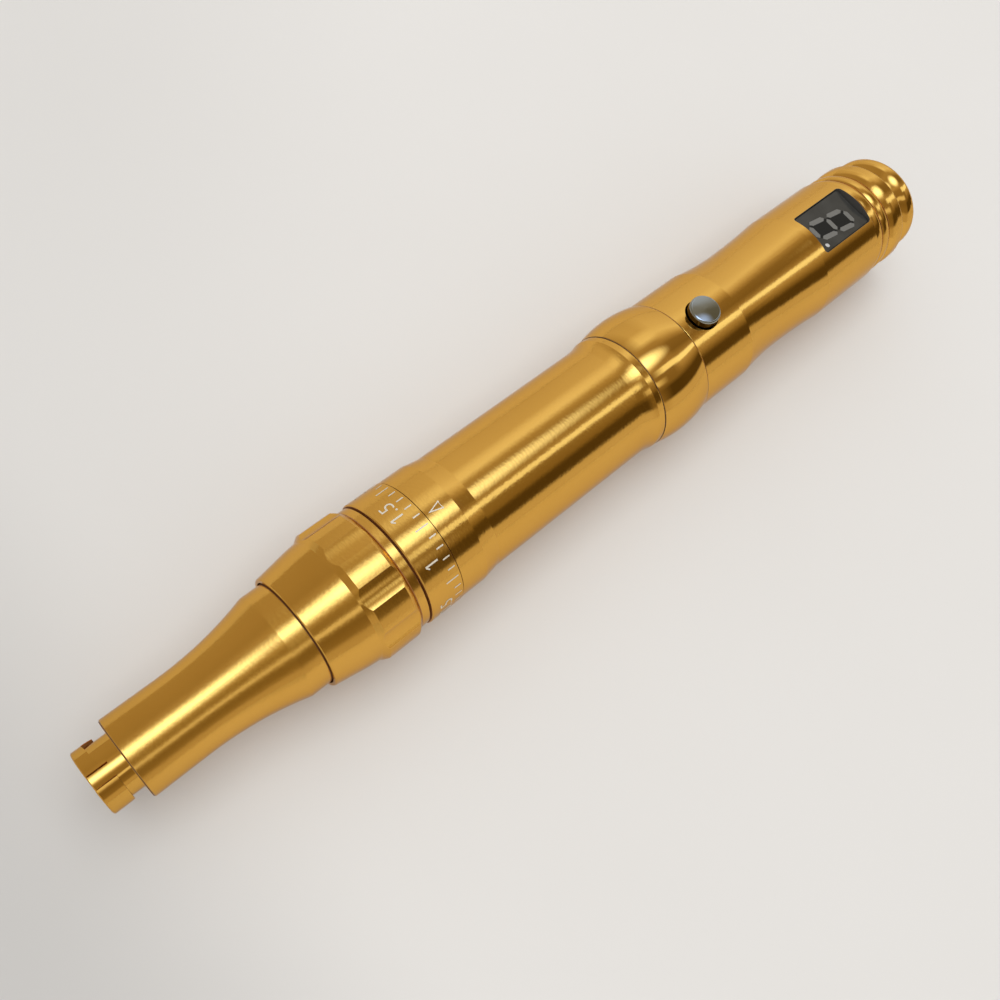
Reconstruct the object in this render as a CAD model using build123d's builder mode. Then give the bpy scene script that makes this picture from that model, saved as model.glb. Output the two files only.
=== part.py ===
from build123d import *

import os
from math import atan, cos, degrees, radians, sin, tau

# Cordless tattoo pen for permanent makeup, with a depth adjuster and a one-digit display.
# X runs along the pen from the mouth of the needle socket to the tail, and Z points up
# through the power button and the display window. All sizes are in millimetres.
os.makedirs("parts", exist_ok=True)

# Clearances
running_clearance = 0.05
seat_clearance = 0.02
end_play = 0.04
cut_overrun = 1.0

# Needle collar
collar_reach = 4.2
collar_flange_height = 0.45
collar_neck_radius = 3.7
collar_shank_rise = 0.32
collar_shank_length = 7.8
collar_edge = 0.12
socket_radius = 2.6
socket_depth = 10.0
passage_radius = 1.9
entry_slot_count = 2
entry_slot_width = 1.9
entry_slot_angle = 10.0
stop_lobe_length = 2.6
detent_crest_length = 1.75
detent_valley_length = 1.3
stop_lobe_end_angle = 80.0
detent_valley_angle = 97.0

# Nose cone
nose_reach = 23.1
nose_tip_wall = 1.28
nose_straight_length = 7.3
nose_band_length = 2.8
nose_wall = 1.4
nose_front_bore_radius = 3.6
nose_step_gap = 0.5
nose_end_gap = 0.41
nose_edge = 0.2

# Depth adjustment: the nose moves one lead for each full turn of the sleeve
thread_lead = 3.6
turn_to_zero = 131.0
turn_to_full = 119.0
key_radius = 0.7
key_from_nose_end = 3.4
key_recess = 0.15
key_engagement = 0.95

# Adjusting sleeve, with its walls measured outwards from the nose tube
sleeve_mouth_wall = 0.7
sleeve_cone_wall = 1.45
sleeve_band_wall = 1.63
grip_crest_wall = 2.21
rim_wall = 1.6
sleeve_cone_length = 4.7
sleeve_band_length = 1.65
grip_crest_length = 4.7
grip_bevel_length = 0.8
rim_length = 1.16
sleeve_edge = 0.12
flute_count = 9
flute_angle = 22.8
flute_cutter_radius = 5.0
flute_depth = 0.36
sleeve_mouth_relief = 0.2
sleeve_mouth_depth = 1.0

# Scale ring
rim_gap = 0.3
scale_length = 5.01
scale_gap = 0.12
scale_wall = 1.65
scale_edge = 0.15
scale_spigot_wall = 0.75

# Drive housing: guide tube, hub and spigot turned in one piece
guide_length = 12.5
hub_wall = 2.4
hub_rise = 0.15
hub_inset = 0.2
hub_length = 8.54
housing_spigot_length = 8.06
tongue_width = 1.6
tongue_reach = 1.0
clip_offset = 0.5
clip_thickness = 0.76
clip_groove_depth = 0.5
clip_rise = 0.6
clip_opening_angle = 50.0
clip_play = 0.1
friction_ring_section = 0.44
friction_ring_from_body = 2.74
friction_ring_groove_width = 1.1

# Bushes, needle bar and drive plate
bush_length = 4.0
bush_wall = 2.03
front_bush_inset = 0.5
bar_radius = 1.5
bar_front_from_mouth = 15.2
bar_tip_length = 2.0
bar_tip_shank_radius = 0.7
bar_tip_shank_length = 2.0
needle_stroke = 2.5
plate_from_hub = 5.5
plate_thickness = 2.0
plate_rim = 0.8
plate_gap = 0.4
follower_spacing = 0.7
follower_radius = 0.8
follower_shank_radius = 0.6
follower_length = 2.0
spring_wire_radius = 0.2
spring_coil_radius = 2.0
spring_turns = 4
spring_end_gap = 0.3

# Swash cam
cam_rim = 0.4
cam_gap = 0.15
cam_end_gap = 1.0
cam_screw_radius = 0.58
cam_screw_from_end = 1.4
shaft_radius = 0.75
shaft_set_back = 0.6

# Motor
motor_mount_thickness = 2.0
motor_length = 20.0
motor_wall = 0.5
motor_front_wall = 1.2
motor_boss_radius = 2.0
motor_boss_length = 1.0
motor_screw_circle = 3.4
motor_screw_radius = 0.8
motor_screw_head_radius = 1.4
motor_screw_head_height = 0.7
motor_screw_bite = 0.8
magnet_thickness = 0.75
magnet_arc = 140.0
magnet_length = 14.0
magnet_from_front = 2.4
air_gap = 0.33
rotor_length = 12.0
rotor_from_front = 3.4
rotor_slot_count = 5
rotor_slot_width = 0.9
rotor_slot_depth = 2.4
commutator_radius = 1.8
commutator_length = 3.0
commutator_gap = 0.9
end_cap_thickness = 2.0
end_cap_boss_radius = 2.4
end_cap_boss_length = 0.8
end_cap_bearing_depth = 1.2
brush_width = 1.6
brush_length = 1.8
brush_depth = 1.35
brush_arm_thickness = 0.4
terminal_inset = 2.1
terminal_thickness = 0.3
terminal_width = 1.6
terminal_length = 2.0
motor_sleeve_wall = 1.56
motor_sleeve_length = 16.0
motor_sleeve_from_front = 2.0

# Body tube
body_length = 37.56
body_wall = 1.0
body_band_rise = 0.42
body_band_length = 3.96
body_taper_length = 2.5
body_flare_length = 2.4
body_end_band_length = 1.1
body_end_rise = 0.35

# Coupling ring
bulge_length = 8.9
bulge_height = 0.52
bulge_front_rise = 0.03
bulge_rear_rise = 0.13
bulge_crest_from_front = 4.6
coupling_spigot_length = 3.2
coupling_wall = 1.0

# Cell and chassis, which set the length and the bore of the rear shell
cell_radius = 5.0
cell_length = 40.0
cell_drop = 2.0
cell_edge = 0.4
cell_room = 0.4
tab_thickness = 0.15
tab_width = 3.0
chassis_from_front = 3.7
chassis_plate = 1.0
chassis_rail_drop = 3.0
chassis_wire_hole = 1.2

# Rear shell, with its walls measured outwards from its bore
rear_length_past_cell = 8.2
rear_band_wall = 1.55
rear_band_length = 10.0
waist_wall = 0.88
waist_from_front = 17.8
rear_swell_from_front = 28.5
rear_wall = 1.4
rear_spigot_wall = 0.6
rear_spigot_length = 4.0
window_length = 11.3
window_width = 7.3
window_corner = 0.6
window_floor_drop = 1.4
window_land = 0.2
first_groove_length = 0.4
first_groove_wall = 1.05
first_bead_wall = 1.15
first_bead_rise_length = 0.8
first_bead_fall_length = 1.0
second_groove_wall = 0.9
second_bead_wall = 1.15
second_bead_rise_length = 0.8
second_bead_fall_length = 1.4
third_groove_wall = 0.6
third_bead_wall = 1.2
third_bead_rise_length = 1.6
third_bead_land = 1.0

# Tail cap, with its radii measured inwards from the crest of the last bead of the shell
tail_length = 5.1
tail_groove_length = 0.9
tail_groove_drop = 1.95
tail_dome_rise_length = 2.75
tail_dome_drop = 0.68
tail_dome_land = 0.35
tail_face_drop = 1.6
tail_spigot_length = 3.5
tail_spigot_wall = 0.96

# Charging jack
jack_bore_radius = 1.8
jack_bore_depth = 13.0
jack_barrel_wall = 1.2
jack_body_wall = 1.8
jack_back_wall = 0.7
lug_width = 1.4
lug_thickness = 0.3
lug_length = 0.8
lug_inset = 1.2

# Control board and what is soldered to it
board_gap = 0.9
board_thickness = 1.0
board_side_gap = 0.35
board_corner = 1.0
board_inset = 0.7
chip_length = 5.0
chip_width = 5.0
chip_height = 0.9
inductor_size = 4.6
inductor_height = 1.7
inductor_corner = 0.8
capacitor_radius = 0.9
capacitor_length = 3.0
plug_length = 3.0
plug_width = 4.4
plug_height = 1.4
chip_shares = (0.2, 0.87)
inductor_share = 0.48
capacitor_share = 0.6

# Display
display_margin = 0.3
display_side_gap = 0.1
lens_gap = 0.05
lens_thickness = 0.75
lens_edge = 0.15
lens_depth = 1.05

# Power button
button_from_front = 4.3
button_radius = 2.3
button_hole_gap = 0.2
button_rise = 1.45
button_crown = 0.15
button_edge = 0.35
button_flange_width = 0.55
button_flange_thickness = 0.45
button_flange_drop = 1.1
switch_size = 4.0
switch_height = 0.85
switch_corner = 0.4
plunger_radius = 0.9
plunger_length = 0.85
plunger_clearance = 0.1

# Radii of the needle collar and the tip of the nose
collar_flange_radius = collar_neck_radius + collar_flange_height
collar_shank_radius = collar_neck_radius + collar_shank_rise
collar_bore_radius = collar_shank_radius + seat_clearance
nose_tip_radius = collar_bore_radius + nose_tip_wall

# Radii of the front half, outwards from the needle bar
bush_radius = bar_radius + running_clearance + bush_wall
guide_bore_radius = bush_radius + seat_clearance
follower_offset = bar_radius + follower_spacing + follower_radius
plate_radius = follower_offset + follower_radius + plate_rim
tongue_radius = plate_radius + tongue_reach
cam_radius = follower_offset + follower_radius + cam_rim
cavity_radius = plate_radius + plate_gap
hub_radius = cavity_radius + hub_wall
hub_bore_radius = hub_radius + running_clearance
clip_seat_radius = hub_radius - clip_groove_depth
clip_outer_radius = hub_radius + clip_rise
nose_tube_radius = hub_radius - hub_rise
nose_rear_bore_radius = nose_tube_radius - nose_wall
guide_radius = nose_rear_bore_radius - running_clearance
grip_crest_radius = nose_tube_radius + grip_crest_wall
scale_spigot_radius = hub_bore_radius + scale_spigot_wall
scale_radius = hub_bore_radius + scale_wall
body_bore_radius = hub_radius + hub_inset
body_radius = body_bore_radius + body_wall
body_band_radius = body_radius + body_band_rise
body_end_radius = body_radius + body_end_rise
housing_spigot_radius = body_bore_radius - running_clearance
motor_radius = body_bore_radius - motor_sleeve_wall - 2 * seat_clearance
rotor_radius = motor_radius - motor_wall - seat_clearance - magnet_thickness - air_gap

# Radii of the rear half, outwards from the cell
rear_bore_radius = cell_radius + cell_drop + cell_room
rear_spigot_radius = rear_bore_radius + rear_spigot_wall
rear_band_radius = rear_bore_radius + rear_band_wall
rear_radius = rear_bore_radius + rear_wall
rear_end_radius = rear_bore_radius + third_bead_wall
bulge_front_radius = body_end_radius + bulge_front_rise
bulge_rear_radius = rear_band_radius + bulge_rear_rise
bulge_radius = max(bulge_front_radius, bulge_rear_radius) + bulge_height
chassis_radius = rear_bore_radius - 2 * seat_clearance
tail_spigot_radius = rear_bore_radius - 2 * seat_clearance
tail_groove_radius = rear_end_radius - tail_groove_drop
tail_dome_radius = rear_end_radius - tail_dome_drop
tail_face_radius = rear_end_radius - tail_face_drop
jack_barrel_radius = jack_bore_radius + jack_barrel_wall
jack_body_radius = jack_bore_radius + jack_body_wall

# Heights inside the rear shell
board_height = cell_radius - cell_drop + board_gap
board_top = board_height + board_thickness
board_width = 2 * ((rear_bore_radius**2 - board_top**2) ** 0.5 - board_side_gap)
lens_height = rear_radius - lens_depth
button_flange_height = rear_bore_radius - button_flange_drop
button_top_height = rear_band_radius + button_rise

# Stations along the pen
sleeve_length = (
    sleeve_cone_length + sleeve_band_length + grip_crest_length + 2 * grip_bevel_length + rim_length
)
x_nose = collar_reach
x_sleeve = x_nose + nose_reach
x_grip = x_sleeve + sleeve_cone_length + sleeve_band_length
x_grip_end = x_grip + 2 * grip_bevel_length + grip_crest_length
x_rim_end = x_sleeve + sleeve_length
x_scale = x_rim_end + rim_gap
x_body = x_scale + scale_length + scale_gap
x_bulge = x_body + body_length
x_rear = x_bulge + bulge_length
x_tail = x_rear + cell_length + rear_length_past_cell
x_end = x_tail + tail_length

# Stations of the mechanism
nose_out_travel = thread_lead * turn_to_zero / 360
nose_back_travel = thread_lead * turn_to_full / 360
x_hub = x_body - hub_length
x_guide = x_hub - guide_length
x_nose_end = x_hub - nose_back_travel - nose_end_gap
x_key = x_nose_end - key_from_nose_end
x_plate = x_hub + plate_from_hub
x_plate_end = x_plate + plate_thickness
x_mount = x_body + housing_spigot_length
x_cam_end = x_mount - cam_end_gap
x_motor = x_mount + motor_mount_thickness
x_motor_end = x_motor + motor_length

# Stations of the rear half
x_third_bead = x_tail - third_bead_land
x_third_groove = x_third_bead - third_bead_rise_length
x_second_bead = x_third_groove - second_bead_fall_length
x_second_groove = x_second_bead - second_bead_rise_length
x_first_bead = x_second_groove - first_bead_fall_length
x_first_groove = x_first_bead - first_bead_rise_length
x_window_end = x_first_groove - first_groove_length - window_land
x_window = x_window_end - window_length
x_window_middle = (x_window + x_window_end) / 2
x_rear_spigot = x_rear - rear_spigot_length
x_button = x_rear + button_from_front
x_chassis = x_rear - chassis_from_front
x_cell = x_chassis + chassis_plate + tab_thickness + seat_clearance
x_cell_end = x_cell + cell_length
x_chassis_end = x_cell_end + tab_thickness + seat_clearance + chassis_plate


def turned(points):
    """Turn a closed outline of (x, radius) points about the pen's axis."""
    with BuildSketch(Plane.XY) as outline:
        with BuildLine():
            Polyline(*points, close=True)
        make_face()
    revolve(outline.sketch, axis=Axis.X)


def bore(start, end, radius):
    """Cut a round hole along the pen's axis."""
    with BuildSketch(Plane.YZ.offset(start)) as hole:
        Circle(radius)
    extrude(hole.sketch, amount=end - start, mode=Mode.SUBTRACT)


def radial_plane(angle, x=0.0, radius=0.0):
    """A plane that faces outwards at an angle from the top, with its own x along the pen."""
    outward = (0, -sin(radians(angle)), cos(radians(angle)))
    return Plane(origin=(x, outward[1] * radius, outward[2] * radius), x_dir=(1, 0, 0), z_dir=outward)


def finish(builder, label):
    """Name a finished piece and write it."""
    builder.part.label = label
    export_step(builder.part, "parts/" + label + ".step")


# Needle collar: two entry slots, and behind the flange of each lobe a stop, a ramp and a detent
lobe_span = 360 / entry_slot_count
lobe_middle_angle = lobe_span / 2
lobe_radius = (collar_flange_radius + collar_neck_radius) / 2


def lobe_offset(angle):
    """Distance across the lobe's own plane, from its middle, of an angle past the slot."""
    return -lobe_radius * sin(radians(angle - lobe_middle_angle))


with BuildPart() as needle_collar:
    turned(
        [
            (0, collar_neck_radius - collar_edge),
            (0, collar_flange_radius - collar_edge),
            (collar_edge, collar_flange_radius),
            (stop_lobe_length, collar_flange_radius),
            (stop_lobe_length, collar_neck_radius - collar_edge),
        ]
    )
    for slot in range(entry_slot_count):
        slot_angle = entry_slot_angle + slot * lobe_span
        with BuildSketch(radial_plane(slot_angle)):
            with Locations((stop_lobe_length / 2, 0)):
                Rectangle(stop_lobe_length + cut_overrun, entry_slot_width)
        extrude(amount=collar_flange_radius + cut_overrun, mode=Mode.SUBTRACT)
        with BuildSketch(radial_plane(slot_angle + lobe_middle_angle)):
            with BuildLine():
                Polyline(
                    (stop_lobe_length + cut_overrun, lobe_offset(stop_lobe_end_angle)),
                    (stop_lobe_length, lobe_offset(stop_lobe_end_angle)),
                    (detent_valley_length, lobe_offset(detent_valley_angle)),
                    (detent_crest_length, lobe_offset(lobe_span)),
                    (stop_lobe_length + cut_overrun, lobe_offset(lobe_span)),
                    close=True,
                )
            make_face()
        extrude(amount=collar_flange_radius + cut_overrun, mode=Mode.SUBTRACT)
    turned(
        [
            (0, 0),
            (0, collar_neck_radius - collar_edge),
            (collar_edge, collar_neck_radius),
            (collar_reach, collar_neck_radius),
            (collar_reach, collar_shank_radius),
            (collar_reach + collar_shank_length, collar_shank_radius),
            (collar_reach + collar_shank_length, 0),
        ]
    )
    bore(0, socket_depth, socket_radius)
    bore(socket_depth, collar_reach + collar_shank_length, passage_radius)
finish(needle_collar, "needle_collar")

# Nose cone: a slim tube that flares in one tangent arc and runs back inside the sleeve
x_flare = x_nose + nose_straight_length
x_nose_band = x_sleeve - nose_band_length
x_nose_step = x_guide - nose_back_travel - nose_step_gap
with BuildPart() as nose_cone:
    with BuildSketch(Plane.XY):
        with BuildLine():
            Polyline(
                (x_nose_end, 0),
                (x_nose, 0),
                (x_nose, nose_tip_radius - nose_edge),
                (x_nose + nose_edge, nose_tip_radius),
                (x_flare, nose_tip_radius),
            )
            TangentArc((x_flare, nose_tip_radius), (x_nose_band, nose_tube_radius), tangent=(1, 0))
            Polyline(
                (x_nose_band, nose_tube_radius),
                (x_nose_end, nose_tube_radius),
                (x_nose_end, 0),
            )
        make_face()
    revolve(axis=Axis.X)
    bore(x_nose, x_nose + collar_shank_length, collar_bore_radius)
    bore(x_nose + collar_shank_length, x_nose_step, nose_front_bore_radius)
    bore(x_nose_step, x_nose_end, nose_rear_bore_radius)
    with BuildSketch(Plane.XZ.offset(-nose_tube_radius - cut_overrun)):
        with Locations((x_key, 0)):
            Circle(key_radius + seat_clearance)
    extrude(amount=2 * (nose_tube_radius + cut_overrun), mode=Mode.SUBTRACT)
finish(nose_cone, "nose_cone")

# Nose keys: two pins in the nose that ride in slots of the guide tube
key_outer_radius = nose_tube_radius - key_recess
key_inner_radius = guide_radius - key_engagement
with BuildPart() as nose_keys:
    for side in (-1, 1):
        with BuildSketch(Plane.XZ.offset(side * key_inner_radius)):
            with Locations((x_key, 0)):
                Circle(key_radius)
        extrude(amount=side * (key_outer_radius - key_inner_radius))
finish(nose_keys, "nose_keys")

# Adjusting sleeve: front cone, fluted grip ring and rim
x_clip = x_hub + clip_offset
x_sleeve_counterbore = x_hub - clip_play
with BuildPart() as adjusting_sleeve:
    turned(
        [
            (x_sleeve, 0),
            (x_sleeve, nose_tube_radius + sleeve_mouth_wall - sleeve_edge),
            (x_sleeve + sleeve_edge, nose_tube_radius + sleeve_mouth_wall),
            (x_sleeve + sleeve_cone_length, nose_tube_radius + sleeve_cone_wall),
            (x_grip, nose_tube_radius + sleeve_band_wall),
            (x_grip + grip_bevel_length, grip_crest_radius),
            (x_grip_end - grip_bevel_length, grip_crest_radius),
            (x_grip_end, nose_tube_radius + rim_wall),
            (x_rim_end, nose_tube_radius + rim_wall),
            (x_rim_end, 0),
        ]
    )
    with BuildSketch(Plane.YZ.offset(x_grip)):
        for flute in range(flute_count):
            angle = radians(flute_angle + flute * 360 / flute_count)
            reach = grip_crest_radius - flute_depth + flute_cutter_radius
            with Locations((-reach * sin(angle), reach * cos(angle))):
                Circle(flute_cutter_radius)
    extrude(amount=x_grip_end - x_grip, mode=Mode.SUBTRACT)
    bore(x_sleeve, x_sleeve + sleeve_mouth_depth, nose_tube_radius + sleeve_mouth_relief)
    bore(x_sleeve + sleeve_mouth_depth, x_sleeve_counterbore, nose_tube_radius + running_clearance)
    bore(x_sleeve_counterbore, x_rim_end, scale_spigot_radius + seat_clearance)
finish(adjusting_sleeve, "adjusting_sleeve")

# Scale ring: it turns on the hub, and its spigot is screwed into the sleeve
x_scale_spigot = x_clip + clip_thickness + end_play + clip_play
with BuildPart() as scale_ring:
    turned(
        [
            (x_scale_spigot, hub_bore_radius),
            (x_scale_spigot, scale_spigot_radius),
            (x_scale, scale_spigot_radius),
            (x_scale, scale_radius - scale_edge),
            (x_scale + scale_edge, scale_radius),
            (x_scale + scale_length, scale_radius),
            (x_scale + scale_length, hub_bore_radius),
        ]
    )
finish(scale_ring, "scale_ring")

# Drive housing: it guides the nose in front, carries the adjuster on its hub, and is
# screwed into the body tube behind
x_friction_ring = x_body - friction_ring_from_body
friction_seat_radius = hub_radius - 2 * friction_ring_section
key_slot_front = x_key - nose_out_travel - key_radius - running_clearance
key_slot_end = x_key + nose_back_travel + key_radius + running_clearance
with BuildPart() as drive_housing:
    turned(
        [
            (x_guide, 0),
            (x_guide, guide_radius),
            (x_hub, guide_radius),
            (x_hub, hub_radius),
            (x_clip - end_play / 2, hub_radius),
            (x_clip - end_play / 2, clip_seat_radius),
            (x_clip + clip_thickness + end_play / 2, clip_seat_radius),
            (x_clip + clip_thickness + end_play / 2, hub_radius),
            (x_friction_ring - friction_ring_groove_width / 2, hub_radius),
            (x_friction_ring - friction_ring_groove_width / 2, friction_seat_radius),
            (x_friction_ring + friction_ring_groove_width / 2, friction_seat_radius),
            (x_friction_ring + friction_ring_groove_width / 2, hub_radius),
            (x_body, hub_radius),
            (x_body, housing_spigot_radius),
            (x_mount, housing_spigot_radius),
            (x_mount, 0),
        ]
    )
    bore(x_guide, x_hub, guide_bore_radius)
    bore(x_hub, x_mount, cavity_radius)
    with BuildSketch(Plane.YZ.offset(x_hub)):
        with Locations((0, -tongue_radius / 2)):
            Rectangle(tongue_width + 2 * running_clearance, tongue_radius + 2 * running_clearance)
    extrude(amount=x_mount - x_hub, mode=Mode.SUBTRACT)
    for side in (-1, 1):
        with BuildSketch(Plane.XZ.offset(side * (key_inner_radius - running_clearance))):
            with Locations(((key_slot_front + key_slot_end) / 2, 0)):
                SlotOverall(key_slot_end - key_slot_front, 2 * (key_radius + running_clearance))
        extrude(amount=side * guide_radius, mode=Mode.SUBTRACT)
finish(drive_housing, "drive_housing")

# Retaining ring: a sprung clip, open at the bottom, in the groove of the hub
with BuildPart() as retaining_ring:
    with BuildSketch(Plane.YZ.offset(x_clip)):
        Circle(clip_outer_radius)
        Circle(clip_seat_radius + seat_clearance, mode=Mode.SUBTRACT)
        with BuildLine():
            opening_reach = clip_outer_radius + cut_overrun
            opening = radians(clip_opening_angle / 2)
            Polyline(
                (0, 0),
                (-opening_reach * sin(opening), -opening_reach * cos(opening)),
                (opening_reach * sin(opening), -opening_reach * cos(opening)),
                close=True,
            )
        make_face(mode=Mode.SUBTRACT)
    extrude(amount=clip_thickness)
finish(retaining_ring, "retaining_ring")

# Friction ring: a rubber ring that holds the depth where it is set
with BuildPart() as friction_ring:
    with BuildSketch(Plane.XY):
        with Locations((x_friction_ring, friction_seat_radius + seat_clearance + friction_ring_section)):
            Circle(friction_ring_section)
    revolve(axis=Axis.X)
finish(friction_ring, "friction_ring")

# Front and rear bush of the needle bar
x_front_bush = x_guide + front_bush_inset
x_rear_bush = x_hub - bush_length
for bush_start, bush_name in ((x_front_bush, "front_bush"), (x_rear_bush, "rear_bush")):
    with BuildPart() as bush:
        turned(
            [
                (bush_start, bar_radius + running_clearance),
                (bush_start, bush_radius),
                (bush_start + bush_length, bush_radius),
                (bush_start + bush_length, bar_radius + running_clearance),
            ]
        )
    finish(bush, bush_name)

# Needle bar: the rod that pushes the plunger of the cartridge
with BuildPart() as needle_bar:
    turned(
        [
            (bar_front_from_mouth, 0),
            (bar_front_from_mouth, bar_radius),
            (x_plate_end, bar_radius),
            (x_plate_end, 0),
        ]
    )
    bore(
        bar_front_from_mouth,
        bar_front_from_mouth + bar_tip_shank_length + seat_clearance,
        bar_tip_shank_radius + seat_clearance,
    )
finish(needle_bar, "needle_bar")

# Bar tip: a plastic nose pressed into the front of the needle bar
with BuildPart() as bar_tip:
    turned(
        [
            (bar_front_from_mouth - bar_tip_length, 0),
            (bar_front_from_mouth - bar_tip_length, bar_radius / 2),
            (bar_front_from_mouth - bar_tip_length + bar_radius / 3, bar_radius),
            (bar_front_from_mouth, bar_radius),
            (bar_front_from_mouth, bar_tip_shank_radius),
            (bar_front_from_mouth + bar_tip_shank_length, bar_tip_shank_radius),
            (bar_front_from_mouth + bar_tip_shank_length, 0),
        ]
    )
finish(bar_tip, "bar_tip")

# Drive plate: carries the follower, and its tongue runs in the housing so that it can't turn
with BuildPart() as drive_plate:
    with BuildSketch(Plane.YZ.offset(x_plate)):
        Circle(plate_radius)
        with Locations((0, -tongue_radius / 2)):
            Rectangle(tongue_width, tongue_radius)
        Circle(bar_radius + seat_clearance, mode=Mode.SUBTRACT)
        with Locations((0, follower_offset)):
            Circle(follower_shank_radius + seat_clearance, mode=Mode.SUBTRACT)
    extrude(amount=plate_thickness)
finish(drive_plate, "drive_plate")

# Follower pin: its domed end runs on the slanted face of the swash cam
with BuildPart() as follower_pin:
    with BuildSketch(Plane.XZ):
        with BuildLine():
            dome_start = x_plate_end + follower_length - follower_radius
            Polyline(
                (dome_start + follower_radius, follower_offset),
                (x_plate, follower_offset),
                (x_plate, follower_offset + follower_shank_radius),
                (x_plate_end, follower_offset + follower_shank_radius),
                (x_plate_end, follower_offset + follower_radius),
                (dome_start, follower_offset + follower_radius),
            )
            RadiusArc(
                (dome_start, follower_offset + follower_radius),
                (dome_start + follower_radius, follower_offset),
                follower_radius,
            )
        make_face()
    revolve(axis=Axis((0, 0, follower_offset), (1, 0, 0)))
finish(follower_pin, "follower_pin")

# Return spring: pushes the drive plate back from the rear bush
spring_front = x_hub + spring_wire_radius + spring_end_gap
spring_length = x_plate - spring_wire_radius - spring_end_gap - spring_front
with BuildPart() as return_spring:
    with BuildLine() as coil:
        Helix(
            spring_length / spring_turns,
            spring_length,
            spring_coil_radius,
            center=(spring_front, 0, 0),
            direction=(1, 0, 0),
        )
    with BuildSketch(Plane(origin=coil.line @ 0, z_dir=coil.line % 0)):
        Circle(spring_wire_radius)
    sweep(path=coil.line, is_frenet=True)
finish(return_spring, "return_spring")

# Swash cam: its face is slanted so that the follower moves by one stroke in half a turn
swash_slope = needle_stroke / 2 / follower_offset
follower_centre = x_plate_end + follower_length - follower_radius
swash_tilt = atan(swash_slope)
x_swash = follower_centre + (follower_radius + cam_gap) / cos(swash_tilt) + needle_stroke / 2
swash_face = Plane(origin=(x_swash, 0, 0), z_dir=(cos(swash_tilt), 0, sin(swash_tilt)))
x_cam_screw = x_cam_end - cam_screw_from_end
with BuildPart() as swash_cam:
    turned(
        [
            (x_swash - cam_radius * swash_slope - cut_overrun, 0),
            (x_swash - cam_radius * swash_slope - cut_overrun, cam_radius),
            (x_cam_end, cam_radius),
            (x_cam_end, 0),
        ]
    )
    split(bisect_by=swash_face, keep=Keep.TOP)
    bore(x_swash - cam_radius * swash_slope, x_cam_end, shaft_radius + seat_clearance)
    with BuildSketch(radial_plane(180, x_cam_screw)):
        Circle(cam_screw_radius + seat_clearance)
    extrude(amount=cam_radius + cut_overrun, mode=Mode.SUBTRACT)
finish(swash_cam, "swash_cam")

# Cam screw: the grub screw that locks the cam on the shaft
with BuildPart() as cam_screw:
    with BuildSketch(radial_plane(180, x_cam_screw, shaft_radius + seat_clearance)):
        Circle(cam_screw_radius)
    extrude(amount=cam_radius - shaft_radius - 2 * cam_screw_radius / 3)
finish(cam_screw, "cam_screw")

# Motor shaft
x_shaft_front = x_swash + shaft_set_back
x_shaft_end = x_motor_end + end_cap_bearing_depth - end_play
with BuildPart() as motor_shaft:
    turned(
        [
            (x_shaft_front, 0),
            (x_shaft_front, shaft_radius),
            (x_shaft_end, shaft_radius),
            (x_shaft_end, 0),
        ]
    )
finish(motor_shaft, "motor_shaft")

# Rotor core: laminated stack with slots for the windings
x_rotor = x_motor + rotor_from_front
with BuildPart() as rotor_core:
    with BuildSketch(Plane.YZ.offset(x_rotor)):
        Circle(rotor_radius)
        Circle(shaft_radius + seat_clearance, mode=Mode.SUBTRACT)
        with PolarLocations(rotor_radius - rotor_slot_depth / 2, rotor_slot_count):
            Rectangle(rotor_slot_depth + rotor_slot_width / 2, rotor_slot_width, mode=Mode.SUBTRACT)
    extrude(amount=rotor_length)
finish(rotor_core, "rotor_core")

# Commutator
x_commutator = x_rotor + rotor_length + commutator_gap
with BuildPart() as commutator:
    turned(
        [
            (x_commutator, shaft_radius + seat_clearance),
            (x_commutator, commutator_radius),
            (x_commutator + commutator_length, commutator_radius),
            (x_commutator + commutator_length, shaft_radius + seat_clearance),
        ]
    )
finish(commutator, "commutator")

# Motor can: a drawn cup with a bearing boss in front
with BuildPart() as motor_can:
    turned(
        [
            (x_motor - motor_boss_length, shaft_radius + running_clearance),
            (x_motor - motor_boss_length, motor_boss_radius),
            (x_motor, motor_boss_radius),
            (x_motor, motor_radius),
            (x_motor_end, motor_radius),
            (x_motor_end, motor_radius - motor_wall),
            (x_motor + motor_front_wall, motor_radius - motor_wall),
            (x_motor + motor_front_wall, shaft_radius + running_clearance),
        ]
    )
    with BuildSketch(Plane.YZ.offset(x_motor)):
        with Locations((motor_screw_circle, 0), (-motor_screw_circle, 0)):
            Circle(motor_screw_radius + seat_clearance)
    extrude(amount=motor_front_wall, mode=Mode.SUBTRACT)
finish(motor_can, "motor_can")

# Motor magnets: two arcs against the wall of the can
magnet_outer_radius = motor_radius - motor_wall - seat_clearance
x_magnet = x_motor + magnet_from_front
with BuildPart() as motor_magnets:
    for side in (-1, 1):
        with BuildSketch(Plane.YZ.offset(x_magnet)):
            Circle(magnet_outer_radius)
            Circle(magnet_outer_radius - magnet_thickness, mode=Mode.SUBTRACT)
            with BuildLine():
                half_arc = radians(magnet_arc / 2)
                spread = magnet_outer_radius * cos(half_arc)
                rise = magnet_outer_radius * sin(half_arc)
                Polyline(
                    (0, 0),
                    (side * 2 * spread, 2 * rise),
                    (side * 2 * motor_radius, 2 * rise),
                    (side * 2 * motor_radius, -2 * rise),
                    (side * 2 * spread, -2 * rise),
                    close=True,
                )
            make_face(mode=Mode.INTERSECT)
        extrude(amount=magnet_length)
finish(motor_magnets, "motor_magnets")

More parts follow.
